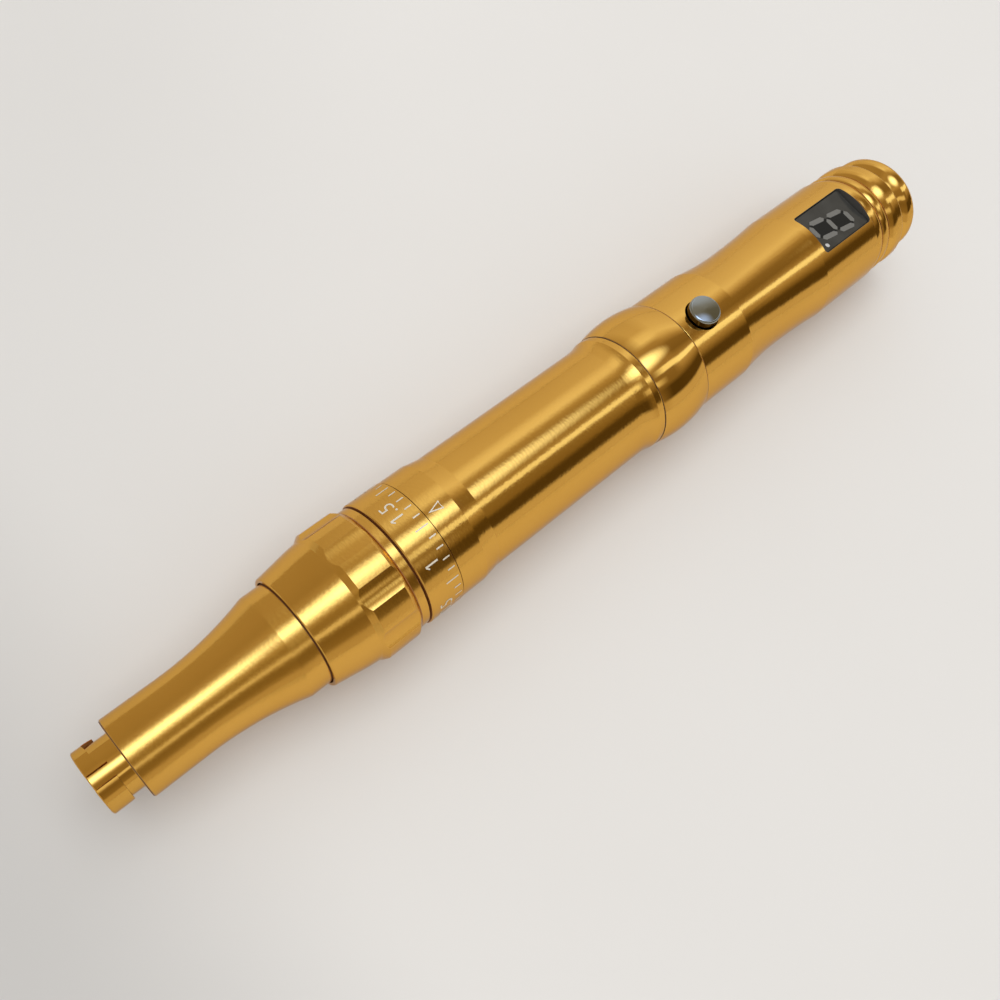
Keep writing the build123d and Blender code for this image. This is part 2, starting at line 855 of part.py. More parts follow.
# Motor end cap: moulded, with the rear bearing
with BuildPart() as motor_end_cap:
    turned(
        [
            (x_motor_end, 0),
            (x_motor_end, motor_radius),
            (x_motor_end + end_cap_thickness, motor_radius),
            (x_motor_end + end_cap_thickness, end_cap_boss_radius),
            (x_motor_end + end_cap_thickness + end_cap_boss_length, end_cap_boss_radius),
            (x_motor_end + end_cap_thickness + end_cap_boss_length, 0),
        ]
    )
    bore(x_motor_end, x_motor_end + end_cap_bearing_depth, shaft_radius + running_clearance)
finish(motor_end_cap, "motor_end_cap")

# Motor brushes: two blocks on arms that stand on the end cap
brush_start = commutator_radius + running_clearance
brush_end = brush_start + brush_depth
x_brush = x_commutator + (commutator_length - brush_length) / 2
with BuildPart() as motor_brushes:
    for side in (-1, 1):
        with BuildSketch(Plane.XY.offset(-brush_width / 2)):
            with BuildLine():
                Polyline(
                    (x_brush, side * brush_start),
                    (x_brush + brush_length, side * brush_start),
                    (x_brush + brush_length, side * brush_end),
                    (x_motor_end, side * brush_end),
                    (x_motor_end, side * (brush_end + brush_arm_thickness)),
                    (x_brush, side * (brush_end + brush_arm_thickness)),
                    close=True,
                )
            make_face()
        extrude(amount=brush_width)
finish(motor_brushes, "motor_brushes")

# Motor terminals: two blades that stand out of the end cap
x_terminal = x_motor_end + end_cap_thickness
with BuildPart() as motor_terminals:
    with BuildSketch(Plane.YZ.offset(x_terminal)):
        with Locations((motor_radius - terminal_inset, 0), (terminal_inset - motor_radius, 0)):
            Rectangle(terminal_thickness, terminal_width)
    extrude(amount=terminal_length)
finish(motor_terminals, "motor_terminals")

# Motor mount: the plate that closes the drive housing and carries the motor
with BuildPart() as motor_mount:
    with BuildSketch(Plane.YZ.offset(x_mount)):
        Circle(housing_spigot_radius)
        Circle(motor_boss_radius + seat_clearance, mode=Mode.SUBTRACT)
        with Locations((motor_screw_circle, 0), (-motor_screw_circle, 0)):
            Circle(motor_screw_radius + running_clearance, mode=Mode.SUBTRACT)
    extrude(amount=motor_mount_thickness)
finish(motor_mount, "motor_mount")

# Motor screws
with BuildPart() as motor_screws:
    with BuildSketch(Plane.YZ.offset(x_mount - motor_screw_head_height)):
        with Locations((motor_screw_circle, 0), (-motor_screw_circle, 0)):
            Circle(motor_screw_head_radius)
    extrude(amount=motor_screw_head_height)
    with BuildSketch(Plane.YZ.offset(x_mount)):
        with Locations((motor_screw_circle, 0), (-motor_screw_circle, 0)):
            Circle(motor_screw_radius)
    extrude(amount=motor_mount_thickness + motor_screw_bite)
finish(motor_screws, "motor_screws")

# Motor sleeve: a rubber tube between the motor and the body tube
x_motor_sleeve = x_motor + motor_sleeve_from_front
with BuildPart() as motor_sleeve:
    turned(
        [
            (x_motor_sleeve, motor_radius + seat_clearance),
            (x_motor_sleeve, body_bore_radius - seat_clearance),
            (x_motor_sleeve + motor_sleeve_length, body_bore_radius - seat_clearance),
            (x_motor_sleeve + motor_sleeve_length, motor_radius + seat_clearance),
        ]
    )
finish(motor_sleeve, "motor_sleeve")

# Body tube: front band, taper to the slim barrel, flare and end band
x_taper = x_body + body_band_length
x_end_band = x_bulge - body_end_band_length
x_body_flare = x_end_band - body_flare_length
with BuildPart() as body_tube:
    with BuildSketch(Plane.XY):
        with BuildLine():
            Polyline(
                (x_body_flare, body_radius),
                (x_taper + body_taper_length, body_radius),
                (x_taper, body_band_radius),
                (x_body, body_band_radius),
                (x_body, body_bore_radius),
                (x_bulge, body_bore_radius),
                (x_bulge, body_end_radius),
                (x_end_band, body_end_radius),
            )
            TangentArc((x_body_flare, body_radius), (x_end_band, body_end_radius), tangent=(1, 0))
        make_face()
    revolve(axis=Axis.X)
finish(body_tube, "body_tube")

# Coupling ring: the polished bulge that screws the two halves together
coupling_bore_radius = body_bore_radius - coupling_wall
with BuildPart() as coupling_ring:
    with BuildSketch(Plane.XY):
        with BuildLine():
            ThreePointArc(
                (x_bulge, bulge_front_radius),
                (x_bulge + bulge_crest_from_front, bulge_radius),
                (x_rear, bulge_rear_radius),
            )
            Polyline(
                (x_rear, bulge_rear_radius),
                (x_rear, rear_spigot_radius + seat_clearance),
                (x_rear_spigot, rear_spigot_radius + seat_clearance),
                (x_rear_spigot, coupling_bore_radius),
                (x_bulge - coupling_spigot_length, coupling_bore_radius),
                (x_bulge - coupling_spigot_length, body_bore_radius - seat_clearance),
                (x_bulge, body_bore_radius - seat_clearance),
                (x_bulge, bulge_front_radius),
            )
        make_face()
    revolve(axis=Axis.X)
finish(coupling_ring, "coupling_ring")

# Rear shell: band, waist, swell, and three beads behind the window
x_waist = x_rear + waist_from_front
waist_radius = rear_bore_radius + waist_wall
x_swell = x_rear + rear_swell_from_front
first_groove = (x_first_groove, rear_bore_radius + first_groove_wall)
first_bead = (x_first_bead, rear_bore_radius + first_bead_wall)
second_groove = (x_second_groove, rear_bore_radius + second_groove_wall)
second_bead = (x_second_bead, rear_bore_radius + second_bead_wall)
third_groove = (x_third_groove, rear_bore_radius + third_groove_wall)
third_bead = (x_third_bead, rear_end_radius)
with BuildPart() as rear_shell:
    with BuildSketch(Plane.XY):
        with BuildLine():
            Polyline(
                (x_rear + rear_band_length, rear_band_radius),
                (x_rear, rear_band_radius),
                (x_rear, rear_spigot_radius),
                (x_rear_spigot, rear_spigot_radius),
                (x_rear_spigot, rear_bore_radius),
                (x_tail, rear_bore_radius),
                (x_tail, rear_end_radius),
            )
            TangentArc(
                (x_waist, waist_radius),
                (x_rear + rear_band_length, rear_band_radius),
                tangent=(-1, 0),
            )
            TangentArc((x_waist, waist_radius), (x_swell, rear_radius), tangent=(1, 0))
            Polyline(
                (x_swell, rear_radius),
                (x_window_end + window_land, rear_radius),
                first_groove,
            )
            TangentArc(first_bead, first_groove, tangent=(-1, 0))
            TangentArc(first_bead, second_groove, tangent=(1, 0))
            TangentArc(second_bead, second_groove, tangent=(-1, 0))
            TangentArc(second_bead, third_groove, tangent=(1, 0))
            TangentArc(third_bead, third_groove, tangent=(-1, 0))
            Line(third_bead, (x_tail, rear_end_radius))
        make_face()
    revolve(axis=Axis.X)
    with BuildSketch(Plane.XY.offset(rear_bore_radius - window_floor_drop)):
        with Locations((x_window_middle, 0)):
            RectangleRounded(window_length, window_width, window_corner)
    extrude(amount=rear_radius, mode=Mode.SUBTRACT)
    with BuildSketch(Plane.XY.offset(rear_bore_radius - window_floor_drop)):
        with Locations((x_button, 0)):
            Circle(button_radius + button_hole_gap)
    extrude(amount=rear_radius, mode=Mode.SUBTRACT)
finish(rear_shell, "rear_shell")

# Tail cap: a deep groove, a dome and the end face with the hole for the jack
x_tail_groove = x_tail + tail_groove_length
x_tail_dome = x_tail_groove + tail_dome_rise_length
tail_groove = (x_tail_groove, tail_groove_radius)
tail_dome = (x_tail_dome, tail_dome_radius)
fall_middle = ((x_tail + x_tail_groove) / 2, (rear_end_radius + tail_groove_radius) / 2)
rise_middle = ((x_tail_groove + x_tail_dome) / 2, (tail_groove_radius + tail_dome_radius) / 2)
with BuildPart() as tail_cap:
    with BuildSketch(Plane.XY):
        with BuildLine():
            TangentArc((x_tail, rear_end_radius), fall_middle, tangent=(1, 0))
            TangentArc(tail_groove, fall_middle, tangent=(-1, 0))
            TangentArc(tail_groove, rise_middle, tangent=(1, 0))
            TangentArc(tail_dome, rise_middle, tangent=(-1, 0))
            Line(tail_dome, (x_tail_dome + tail_dome_land, tail_dome_radius))
            TangentArc(
                (x_tail_dome + tail_dome_land, tail_dome_radius),
                (x_end, tail_face_radius),
                tangent=(1, 0),
            )
            Polyline(
                (x_end, tail_face_radius),
                (x_end, jack_barrel_radius + seat_clearance),
                (x_tail, jack_barrel_radius + seat_clearance),
                (x_tail, tail_spigot_radius - tail_spigot_wall),
                (x_tail - tail_spigot_length, tail_spigot_radius - tail_spigot_wall),
                (x_tail - tail_spigot_length, tail_spigot_radius),
                (x_tail, tail_spigot_radius),
                (x_tail, rear_end_radius),
            )
        make_face()
    revolve(axis=Axis.X)
finish(tail_cap, "tail_cap")

# Charging jack: a round socket whose barrel is flush with the end face
x_jack_back = x_end - jack_bore_depth - jack_back_wall
with BuildPart() as charging_jack:
    turned(
        [
            (x_jack_back, 0),
            (x_jack_back, jack_body_radius),
            (x_tail, jack_body_radius),
            (x_tail, jack_barrel_radius),
            (x_end, jack_barrel_radius),
            (x_end, jack_bore_radius),
            (x_end - jack_bore_depth, jack_bore_radius),
            (x_end - jack_bore_depth, 0),
        ]
    )
finish(charging_jack, "charging_jack")

# Jack lugs: two solder blades on the back of the jack
with BuildPart() as jack_lugs:
    with BuildSketch(Plane.YZ.offset(x_jack_back - lug_length)):
        with Locations((jack_body_radius - lug_inset, 0), (lug_inset - jack_body_radius, 0)):
            Rectangle(lug_thickness, lug_width)
    extrude(amount=lug_length)
finish(jack_lugs, "jack_lugs")

# Battery cell
with BuildPart() as battery_cell:
    with BuildSketch(Plane.YZ.offset(x_cell)):
        with Locations((0, -cell_drop)):
            Circle(cell_radius)
    extrude(amount=cell_length)
    chamfer(battery_cell.edges().filter_by(GeomType.CIRCLE), cell_edge)
finish(battery_cell, "battery_cell")

# Cell tabs: nickel strips from both ends of the cell up to the board
tab_bottom = -cell_drop - tab_width / 2
with BuildPart() as cell_tabs:
    for tab_start in (x_cell - tab_thickness, x_cell_end):
        with BuildSketch(Plane.YZ.offset(tab_start)):
            with Locations((0, (tab_bottom + board_height) / 2)):
                Rectangle(tab_width, board_height - tab_bottom)
        extrude(amount=tab_thickness)
finish(cell_tabs, "cell_tabs")

# Chassis: two end plates and two rails that hold the cell and carry the board
with BuildPart() as chassis:
    for plate_start in (x_chassis, x_chassis_end - chassis_plate):
        with BuildSketch(Plane.YZ.offset(plate_start)):
            Circle(chassis_radius)
            with Locations((0, board_height + chassis_radius)):
                Rectangle(3 * chassis_radius, 2 * chassis_radius, mode=Mode.SUBTRACT)
            Circle(chassis_wire_hole, mode=Mode.SUBTRACT)
        extrude(amount=chassis_plate)
    with BuildSketch(Plane.YZ.offset(x_chassis + chassis_plate)):
        Circle(chassis_radius)
        with Locations((0, board_height / 2 - chassis_rail_drop / 2)):
            Rectangle(3 * chassis_radius, board_height + chassis_rail_drop, mode=Mode.INTERSECT)
        with Locations((0, -cell_drop)):
            Circle(cell_radius + seat_clearance, mode=Mode.SUBTRACT)
        with Locations((0, board_height - board_height / 4)):
            Rectangle(tab_width + 4 * seat_clearance, board_height, mode=Mode.SUBTRACT)
    extrude(amount=x_chassis_end - x_chassis - 2 * chassis_plate)
finish(chassis, "chassis")

# Control board
x_board = x_chassis + board_inset
x_board_end = x_chassis_end - board_inset / 2
with BuildPart() as control_board:
    with BuildSketch(Plane.XY.offset(board_height)):
        with Locations(((x_board + x_board_end) / 2, 0)):
            RectangleRounded(x_board_end - x_board, board_width, board_corner)
    extrude(amount=board_thickness)
finish(control_board, "control_board")

# Board parts: motor driver, charger chip, inductor, two capacitors and the motor plug,
# set out between the switch and the display
x_parts = x_button + switch_size
parts_room = x_window - x_parts
with BuildPart() as board_parts:
    with BuildSketch(Plane.XY.offset(board_top)):
        for chip_share in chip_shares:
            with Locations((x_parts + parts_room * chip_share, 0)):
                Rectangle(chip_length, chip_width)
    extrude(amount=chip_height)
    with BuildSketch(Plane.XY.offset(board_top)):
        with Locations((x_parts + parts_room * inductor_share, 0)):
            RectangleRounded(inductor_size, inductor_size, inductor_corner)
    extrude(amount=inductor_height)
    for side in (-1, 1):
        with BuildSketch(Plane.YZ.offset(x_parts + parts_room * capacitor_share)):
            with Locations((side * inductor_size / 3, board_top + capacitor_radius)):
                Circle(capacitor_radius)
        extrude(amount=capacitor_length)
    with BuildSketch(Plane.XY.offset(board_top)):
        with Locations((x_board + plug_length / 2, 0)):
            Rectangle(plug_length, plug_width)
    extrude(amount=plug_height)
finish(board_parts, "board_parts")

# Display module: the block with the seven segments, soldered to the board
display_length = window_length - 2 * display_margin
display_width = window_width - 2 * display_side_gap - 2 * lens_gap
display_top = lens_height - lens_thickness
with BuildPart() as display_module:
    with BuildSketch(Plane.XY.offset(board_top)):
        with Locations((x_window_middle, 0)):
            Rectangle(display_length, display_width)
    extrude(amount=display_top - board_top)
finish(display_module, "display_module")

# Display lens: smoked window glued over the module, a little below the rim of its opening
with BuildPart() as display_lens:
    with BuildSketch(Plane.XY.offset(display_top)):
        with Locations((x_window_middle, 0)):
            RectangleRounded(
                window_length - 2 * lens_gap,
                window_width - 2 * lens_gap,
                window_corner - lens_gap,
            )
    extrude(amount=lens_thickness)
    chamfer(display_lens.faces().sort_by(Axis.Z)[-1].edges(), lens_edge)
finish(display_lens, "display_lens")

# Power button: chrome cap with a flange that keeps it in the shell
with BuildPart() as power_button:
    with BuildSketch(Plane.XZ):
        with BuildLine():
            crown_radius = button_radius - button_edge
            flange_rim = button_radius + button_flange_width
            flange_top = button_flange_height + button_flange_thickness
            Polyline(
                (x_button, button_top_height),
                (x_button, button_flange_height),
                (x_button + flange_rim, button_flange_height),
                (x_button + flange_rim, flange_top),
                (x_button + button_radius, flange_top),
                (x_button + button_radius, button_top_height - button_edge - button_crown),
            )
            RadiusArc(
                (x_button + button_radius, button_top_height - button_edge - button_crown),
                (x_button + crown_radius, button_top_height - button_crown),
                -button_edge,
            )
            RadiusArc(
                (x_button + crown_radius, button_top_height - button_crown),
                (x_button, button_top_height),
                -(crown_radius**2 + button_crown**2) / (2 * button_crown),
            )
        make_face()
    revolve(axis=Axis((x_button, 0, 0), (0, 0, 1)))
finish(power_button, "power_button")

# Switch plunger: the part of the switch that goes down with the button
with BuildPart() as switch_plunger:
    with BuildSketch(Plane.XY.offset(button_flange_height - plunger_length)):
        with Locations((x_button, 0)):
            Circle(plunger_radius)
    extrude(amount=plunger_length)
finish(switch_plunger, "switch_plunger")

# Button switch: soldered to the board under the button
with BuildPart() as button_switch:
    with BuildSketch(Plane.XY.offset(board_top)):
        with Locations((x_button, 0)):
            RectangleRounded(switch_size, switch_size, switch_corner)
            Circle(plunger_radius + plunger_clearance, mode=Mode.SUBTRACT)
    extrude(amount=switch_height)
finish(button_switch, "button_switch")

print("overall length", round(x_end, 3))
print("nose travel per radian", round(thread_lead / tau, 6))
print("swash tilt in degrees", round(degrees(swash_tilt), 3))
print("least gap between spring turns", round(spring_length / spring_turns - 2 * spring_wire_radius, 3))
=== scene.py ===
from math import cos, pi, radians, sin

import bpy
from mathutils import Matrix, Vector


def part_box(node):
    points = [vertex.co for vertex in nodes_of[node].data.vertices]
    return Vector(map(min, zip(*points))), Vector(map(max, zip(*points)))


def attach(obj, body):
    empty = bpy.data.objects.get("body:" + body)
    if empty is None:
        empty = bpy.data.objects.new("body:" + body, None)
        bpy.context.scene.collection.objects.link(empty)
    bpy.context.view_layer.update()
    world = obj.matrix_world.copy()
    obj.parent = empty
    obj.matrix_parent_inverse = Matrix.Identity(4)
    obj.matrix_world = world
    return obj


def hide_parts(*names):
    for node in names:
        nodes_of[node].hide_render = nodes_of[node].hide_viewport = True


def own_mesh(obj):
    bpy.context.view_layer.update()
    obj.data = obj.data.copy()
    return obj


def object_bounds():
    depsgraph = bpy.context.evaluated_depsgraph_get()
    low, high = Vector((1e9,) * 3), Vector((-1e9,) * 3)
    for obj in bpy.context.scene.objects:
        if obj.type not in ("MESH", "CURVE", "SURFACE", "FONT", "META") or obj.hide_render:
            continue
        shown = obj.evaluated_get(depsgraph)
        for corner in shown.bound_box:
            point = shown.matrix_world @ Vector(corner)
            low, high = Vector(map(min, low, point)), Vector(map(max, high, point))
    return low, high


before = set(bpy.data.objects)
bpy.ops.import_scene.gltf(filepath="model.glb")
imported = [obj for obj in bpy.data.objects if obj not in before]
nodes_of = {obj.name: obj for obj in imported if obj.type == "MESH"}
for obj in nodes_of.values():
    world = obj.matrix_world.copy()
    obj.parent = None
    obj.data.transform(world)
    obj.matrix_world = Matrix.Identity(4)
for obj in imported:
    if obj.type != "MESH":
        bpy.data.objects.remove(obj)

cad_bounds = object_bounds()
MM = 0.001
bpy.context.scene.view_settings.view_transform = "Standard"

# Camera. It is held about 12 cm above the pen, a little to its near side, and looks down along it towards
# the tail, so that the needle end is at the lower left of the picture.
camera_place = (6.357 * MM, -24.391 * MM, 120.147 * MM)
camera_turn = (radians(22.862), radians(-11.616), radians(-41.609))
camera_lens = 36.11
camera_near = 10 * MM
bpy.ops.object.select_all(action="DESELECT")
bpy.ops.object.camera_add(location=camera_place, rotation=camera_turn)
camera = bpy.context.object
camera.name = "picture_camera"
camera.data.lens = camera_lens
camera.data.clip_start = camera_near
bpy.context.scene.camera = camera


# Table top. A plain board painted off-white, which the pen's widest ring rests on. The paint has a faint
# mottle, and painted shade makes the board a little darker towards the needle end and the far side.
def new_finish(name):
    """A new material, with its node tree and its surface shader."""
    material = bpy.data.materials.new(name)
    material.use_nodes = True
    return material, material.node_tree, material.node_tree.nodes["Principled BSDF"]


def object_place(tree):
    """The Object coordinates of a material."""
    return tree.nodes.new("ShaderNodeTexCoord").outputs["Object"]


def place_axes(tree):
    """The three Object coordinates of a material, one by one."""
    axes = tree.nodes.new("ShaderNodeSeparateXYZ")
    tree.links.new(object_place(tree), axes.inputs[0])
    return axes.outputs


def feed(tree, socket, value):
    """Give an input a socket to read, or a plain value."""
    if isinstance(value, bpy.types.NodeSocket):
        tree.links.new(value, socket)
    else:
        socket.default_value = value


def math_node(tree, operation, *values):
    """One Math node, fed by sockets or plain numbers."""
    node = tree.nodes.new("ShaderNodeMath")
    node.operation = operation
    for socket, value in zip(node.inputs, values):
        feed(tree, socket, value)
    return node.outputs[0]


def range_node(tree, value, source, result=(0.0, 1.0), kind="LINEAR"):
    """A value carried over from one range to another, and held inside it."""
    node = tree.nodes.new("ShaderNodeMapRange")
    node.interpolation_type = kind
    node.inputs["From Min"].default_value, node.inputs["From Max"].default_value = source
    node.inputs["To Min"].default_value, node.inputs["To Max"].default_value = result
    tree.links.new(value, node.inputs["Value"])
    return node.outputs["Result"]


def noise_node(tree, scale, detail=2.0, place=None):
    """A soft random pattern on the Object coordinates, or on others that it is given."""
    node = tree.nodes.new("ShaderNodeTexNoise")
    node.inputs["Scale"].default_value = scale
    node.inputs["Detail"].default_value = detail
    tree.links.new(object_place(tree) if place is None else place, node.inputs["Vector"])
    return node.outputs["Fac"]


def colour_mix(tree, share, first, second):
    """Two colours mixed by a share."""
    node = tree.nodes.new("ShaderNodeMix")
    node.data_type = "RGBA"
    tree.links.new(share, node.inputs[0])
    feed(tree, node.inputs[6], first)
    feed(tree, node.inputs[7], second)
    return node.outputs[2]


table_height = cad_bounds[0][2]
table_size = 4.0
table_middle = (0.06, 0.0)
board_darker, board_lighter = (0.785, 0.768, 0.745, 1), (0.815, 0.800, 0.780, 1)
mottle_scale, mottle_detail = 18.0, 3.0
far_slant = -0.75
far_edge, far_level = (-0.03, 0.06), 0.92
tip_edge, tip_level = (-0.02, 0.02), 0.80
bpy.ops.object.select_all(action="DESELECT")
bpy.ops.mesh.primitive_plane_add(size=table_size, location=(*table_middle, table_height))
table_top = bpy.context.object
table_top.name = "table_top"
bpy.ops.object.transform_apply(location=True, rotation=True, scale=True)
board_paint, board_tree, board_shader = new_finish("off_white_board")
board_shader.inputs["Roughness"].default_value = 0.9
board_shader.inputs["Specular IOR Level"].default_value = 0.1
board_axes = place_axes(board_tree)
# Painted shade: the board is made darker towards the far side and towards the needle end.
board_slant = math_node(board_tree, "MULTIPLY_ADD", board_axes["Y"], far_slant, board_axes["X"])
far_painted_shade = range_node(board_tree, board_slant, far_edge, (far_level, 1.0), "SMOOTHSTEP")
tip_painted_shade = range_node(board_tree, board_axes["X"], tip_edge, (tip_level, 1.0), "SMOOTHSTEP")
board_mottle = noise_node(board_tree, mottle_scale, mottle_detail)
board_tone = colour_mix(board_tree, board_mottle, board_darker, board_lighter)
board_shade = board_tree.nodes.new("ShaderNodeVectorMath")
board_shade.operation = "SCALE"
board_tree.links.new(board_tone, board_shade.inputs[0])
board_tree.links.new(math_node(board_tree, "MULTIPLY", far_painted_shade, tip_painted_shade), board_shade.inputs["Scale"])
board_tree.links.new(board_shade.outputs["Vector"], board_shader.inputs["Base Color"])
table_top.data.materials.append(board_paint)

# Room, overhead and key light. A pale room and a large softbox overhead light the pen evenly, and a soft key
# from the far side gives its faint shadow on the table. None is bright enough to wash a colour out.
room_colour, room_level = (1.0, 0.99, 0.975, 1), 0.62
key_place = (0.45, 0.40, 0.70)
key_turn = (radians(-30), radians(28), 0)
key_length, key_width = 0.9, 0.5
key_power, key_colour = 0.5, (1.0, 0.98, 0.95)
overhead_place = (0.07, -0.03, 1.0)
overhead_size = 1.0
overhead_power, overhead_colour = 4.5, (1.0, 0.99, 0.97)
bpy.context.scene.world = bpy.data.worlds.new("pale_room")
bpy.context.scene.world.use_nodes = True
room_glow = bpy.context.scene.world.node_tree.nodes["Background"]
room_glow.inputs["Color"].default_value = room_colour
room_glow.inputs["Strength"].default_value = room_level
bpy.ops.object.light_add(type="AREA", location=key_place, rotation=key_turn)
key_light = bpy.context.object
key_light.name = "soft_key"
key_light.data.shape = "RECTANGLE"
key_light.data.size = key_length
key_light.data.size_y = key_width
key_light.data.energy = key_power
key_light.data.color = key_colour
key_light.visible_glossy = False
bpy.ops.object.light_add(type="AREA", location=overhead_place)
overhead_light = bpy.context.object
overhead_light.name = "overhead_softbox"
overhead_light.data.size = overhead_size
overhead_light.data.energy = overhead_power
overhead_light.data.color = overhead_colour
overhead_light.visible_glossy = False


# Light tent. A half round tent of pale and dark strips stands over the pen, as in a product studio, and is
# seen only in reflections. Its strips change from the needle end to the tail.
def new_glow(name):
    """A new material for a surface that only glows, with its node tree and its surface input."""
    material = bpy.data.materials.new(name)
    material.use_nodes = True
    tree = material.node_tree
    tree.nodes.clear()
    return material, tree, tree.nodes.new("ShaderNodeOutputMaterial").inputs["Surface"]


def show_in_reflections(piece):
    """Hide a piece from everything but reflections."""
    piece.visible_camera = False
    piece.visible_diffuse = False
    piece.visible_transmission = False
    piece.visible_volume_scatter = False
    piece.visible_shadow = False


tent_radius = 1.0
tent_length = 5.0
tent_sides = 96
tent_top_level = 2.0
bpy.ops.object.select_all(action="DESELECT")
bpy.ops.mesh.primitive_cylinder_add(
    vertices=tent_sides,
    radius=tent_radius,
    depth=tent_length,
    end_fill_type="NOTHING",
    rotation=(0, pi / 2, 0),
)
tent = bpy.context.object
tent.name = "reflection_tent"
bpy.ops.object.transform_apply(location=True, rotation=True, scale=True)
bpy.ops.object.mode_set(mode="EDIT")
bpy.ops.mesh.select_all(action="SELECT")
bpy.ops.mesh.bisect(plane_co=(0, 0, table_height), plane_no=(0, 0, 1), clear_inner=True)
bpy.ops.object.mode_set(mode="OBJECT")
tent_glow, tent_tree, tent_surface = new_glow("tent_glow")
tent_axes = place_axes(tent_tree)
tent_turn = math_node(tent_tree, "ARCTAN2", tent_axes["Y"], tent_axes["Z"])
tent_share = range_node(tent_tree, tent_turn, (-pi / 2, pi / 2))
# Each strip is an angle from the top towards the far side, in degrees, and its level against white. Dark
# strips are brown card and bright ones cool light, which makes the gold richer where it is dark.
brown_green, brown_blue = 0.70, 0.20
green_gain, blue_gain = 0.36, 1.00
most_green, most_blue = 1.20, 1.80
tip_strips = (
    (-90, 0.62), (-76, 0.58), (-71, 0.32), (-54, 0.25), (-47, 0.30), (-43, 1.00), (-38, 1.00), (-35, 0.33),
    (-22, 0.36), (-15, 0.60), (-9, 0.50), (10, 0.46), (20, 0.50), (30, 0.42), (55, 0.46), (90, 0.48),
)
middle_strips = (
    (-90, 0.74), (-76, 0.72), (-71, 0.10), (-54, 0.10), (-47, 0.28), (-30, 0.33), (-28, 1.32), (-21, 1.32),
    (-19, 0.46), (-10, 0.42), (10, 0.42), (20, 0.52), (30, 1.10), (40, 1.04), (52, 0.76), (90, 0.70),
)
tail_strips = (
    (-90, 0.74), (-76, 0.70), (-71, 0.11), (-54, 0.11), (-47, 0.28), (-38, 0.50), (-32, 0.62), (-30, 1.40),
    (-23, 1.40), (-20, 0.45), (-8, 0.26), (8, 0.31), (17, 0.54), (25, 0.80), (34, 1.02), (50, 0.90),
    (70, 0.84), (90, 0.80),
)
tip_to_middle, middle_to_tail = (0.18, 0.42), (0.62, 0.86)
tent_bands = []
for strips in (tip_strips, middle_strips, tail_strips):
    band = tent_tree.nodes.new("ShaderNodeValToRGB")
    while len(band.color_ramp.elements) > 1:
        band.color_ramp.elements.remove(band.color_ramp.elements[-1])
    for index, (angle, level) in enumerate(strips):
        stop = band.color_ramp.elements[0] if index == 0 else band.color_ramp.elements.new(1.0)
        stop.position = (angle + 90) / 180
        green = min(most_green, brown_green + green_gain * level)
        blue = min(most_blue, brown_blue + blue_gain * level)
        share = level / tent_top_level
        stop.color = (share, share * green, share * blue, 1)
    tent_tree.links.new(tent_share, band.inputs["Fac"])
    tent_bands.append(band.outputs["Color"])
tent_look = tent_bands[0]
for next_band, reach in ((tent_bands[1], tip_to_middle), (tent_bands[2], middle_to_tail)):
    tent_look = colour_mix(tent_tree, range_node(tent_tree, tent_axes["X"], reach), tent_look, next_band)
tent_light = tent_tree.nodes.new("ShaderNodeEmission")
tent_light.inputs["Strength"].default_value = tent_top_level
tent_tree.links.new(tent_look, tent_light.inputs["Color"])
tent_tree.links.new(tent_light.outputs[0], tent_surface)
tent.data.materials.append(tent_glow)
show_in_reflections(tent)

# Top lamp. A long oval softbox hangs inside the tent, brightest in its middle, and gives the highlight along
# the top of the pen. It is seen only in reflections.
lamp_middle = (0.05, -0.007)
lamp_height = 0.80
lamp_reach = 0.68
lamp_half_width = 0.235
lamp_level = 3.0
lamp_fade_power = 2.0
lamp_colour = (0.80, 1.12, 1.92, 1)
lamp_sides = 64
bpy.ops.object.select_all(action="DESELECT")
bpy.ops.mesh.primitive_circle_add(
    vertices=lamp_sides,
    radius=1,
    fill_type="NGON",
    location=(*lamp_middle, lamp_height),
    scale=(lamp_reach, lamp_half_width, 1),
)
top_lamp = bpy.context.object
top_lamp.name = "top_lamp"
bpy.ops.object.transform_apply(location=True, rotation=True, scale=True)
lamp_glow, lamp_tree, lamp_surface = new_glow("lamp_glow")
lamp_scale = (1 / lamp_reach, 1 / lamp_half_width, 0)
lamp_shift = (-lamp_middle[0] / lamp_reach, -lamp_middle[1] / lamp_half_width, 0)
lamp_oval = lamp_tree.nodes.new("ShaderNodeMapping")
lamp_oval.inputs["Location"].default_value = lamp_shift
lamp_oval.inputs["Scale"].default_value = lamp_scale
lamp_edge = lamp_tree.nodes.new("ShaderNodeVectorMath")
lamp_edge.operation = "DOT_PRODUCT"
lamp_tree.links.new(object_place(lamp_tree), lamp_oval.inputs["Vector"])
lamp_tree.links.new(lamp_oval.outputs["Vector"], lamp_edge.inputs[0])
lamp_tree.links.new(lamp_oval.outputs["Vector"], lamp_edge.inputs[1])
lamp_fade = math_node(lamp_tree, "SUBTRACT", 1.0, lamp_edge.outputs["Value"])
lamp_fade = math_node(lamp_tree, "MAXIMUM", lamp_fade, 0.0)
lamp_fade = math_node(lamp_tree, "POWER", lamp_fade, lamp_fade_power)
lamp_power = math_node(lamp_tree, "MULTIPLY", lamp_fade, lamp_level)
lamp_light = lamp_tree.nodes.new("ShaderNodeEmission")
lamp_light.inputs["Color"].default_value = lamp_colour
lamp_clear = lamp_tree.nodes.new("ShaderNodeBsdfTransparent")
lamp_both = lamp_tree.nodes.new("ShaderNodeAddShader")
lamp_tree.links.new(lamp_power, lamp_light.inputs["Strength"])
lamp_tree.links.new(lamp_light.outputs[0], lamp_both.inputs[0])
lamp_tree.links.new(lamp_clear.outputs[0], lamp_both.inputs[1])
lamp_tree.links.new(lamp_both.outputs[0], lamp_surface)
top_lamp.data.materials.append(lamp_glow)
show_in_reflections(top_lamp)

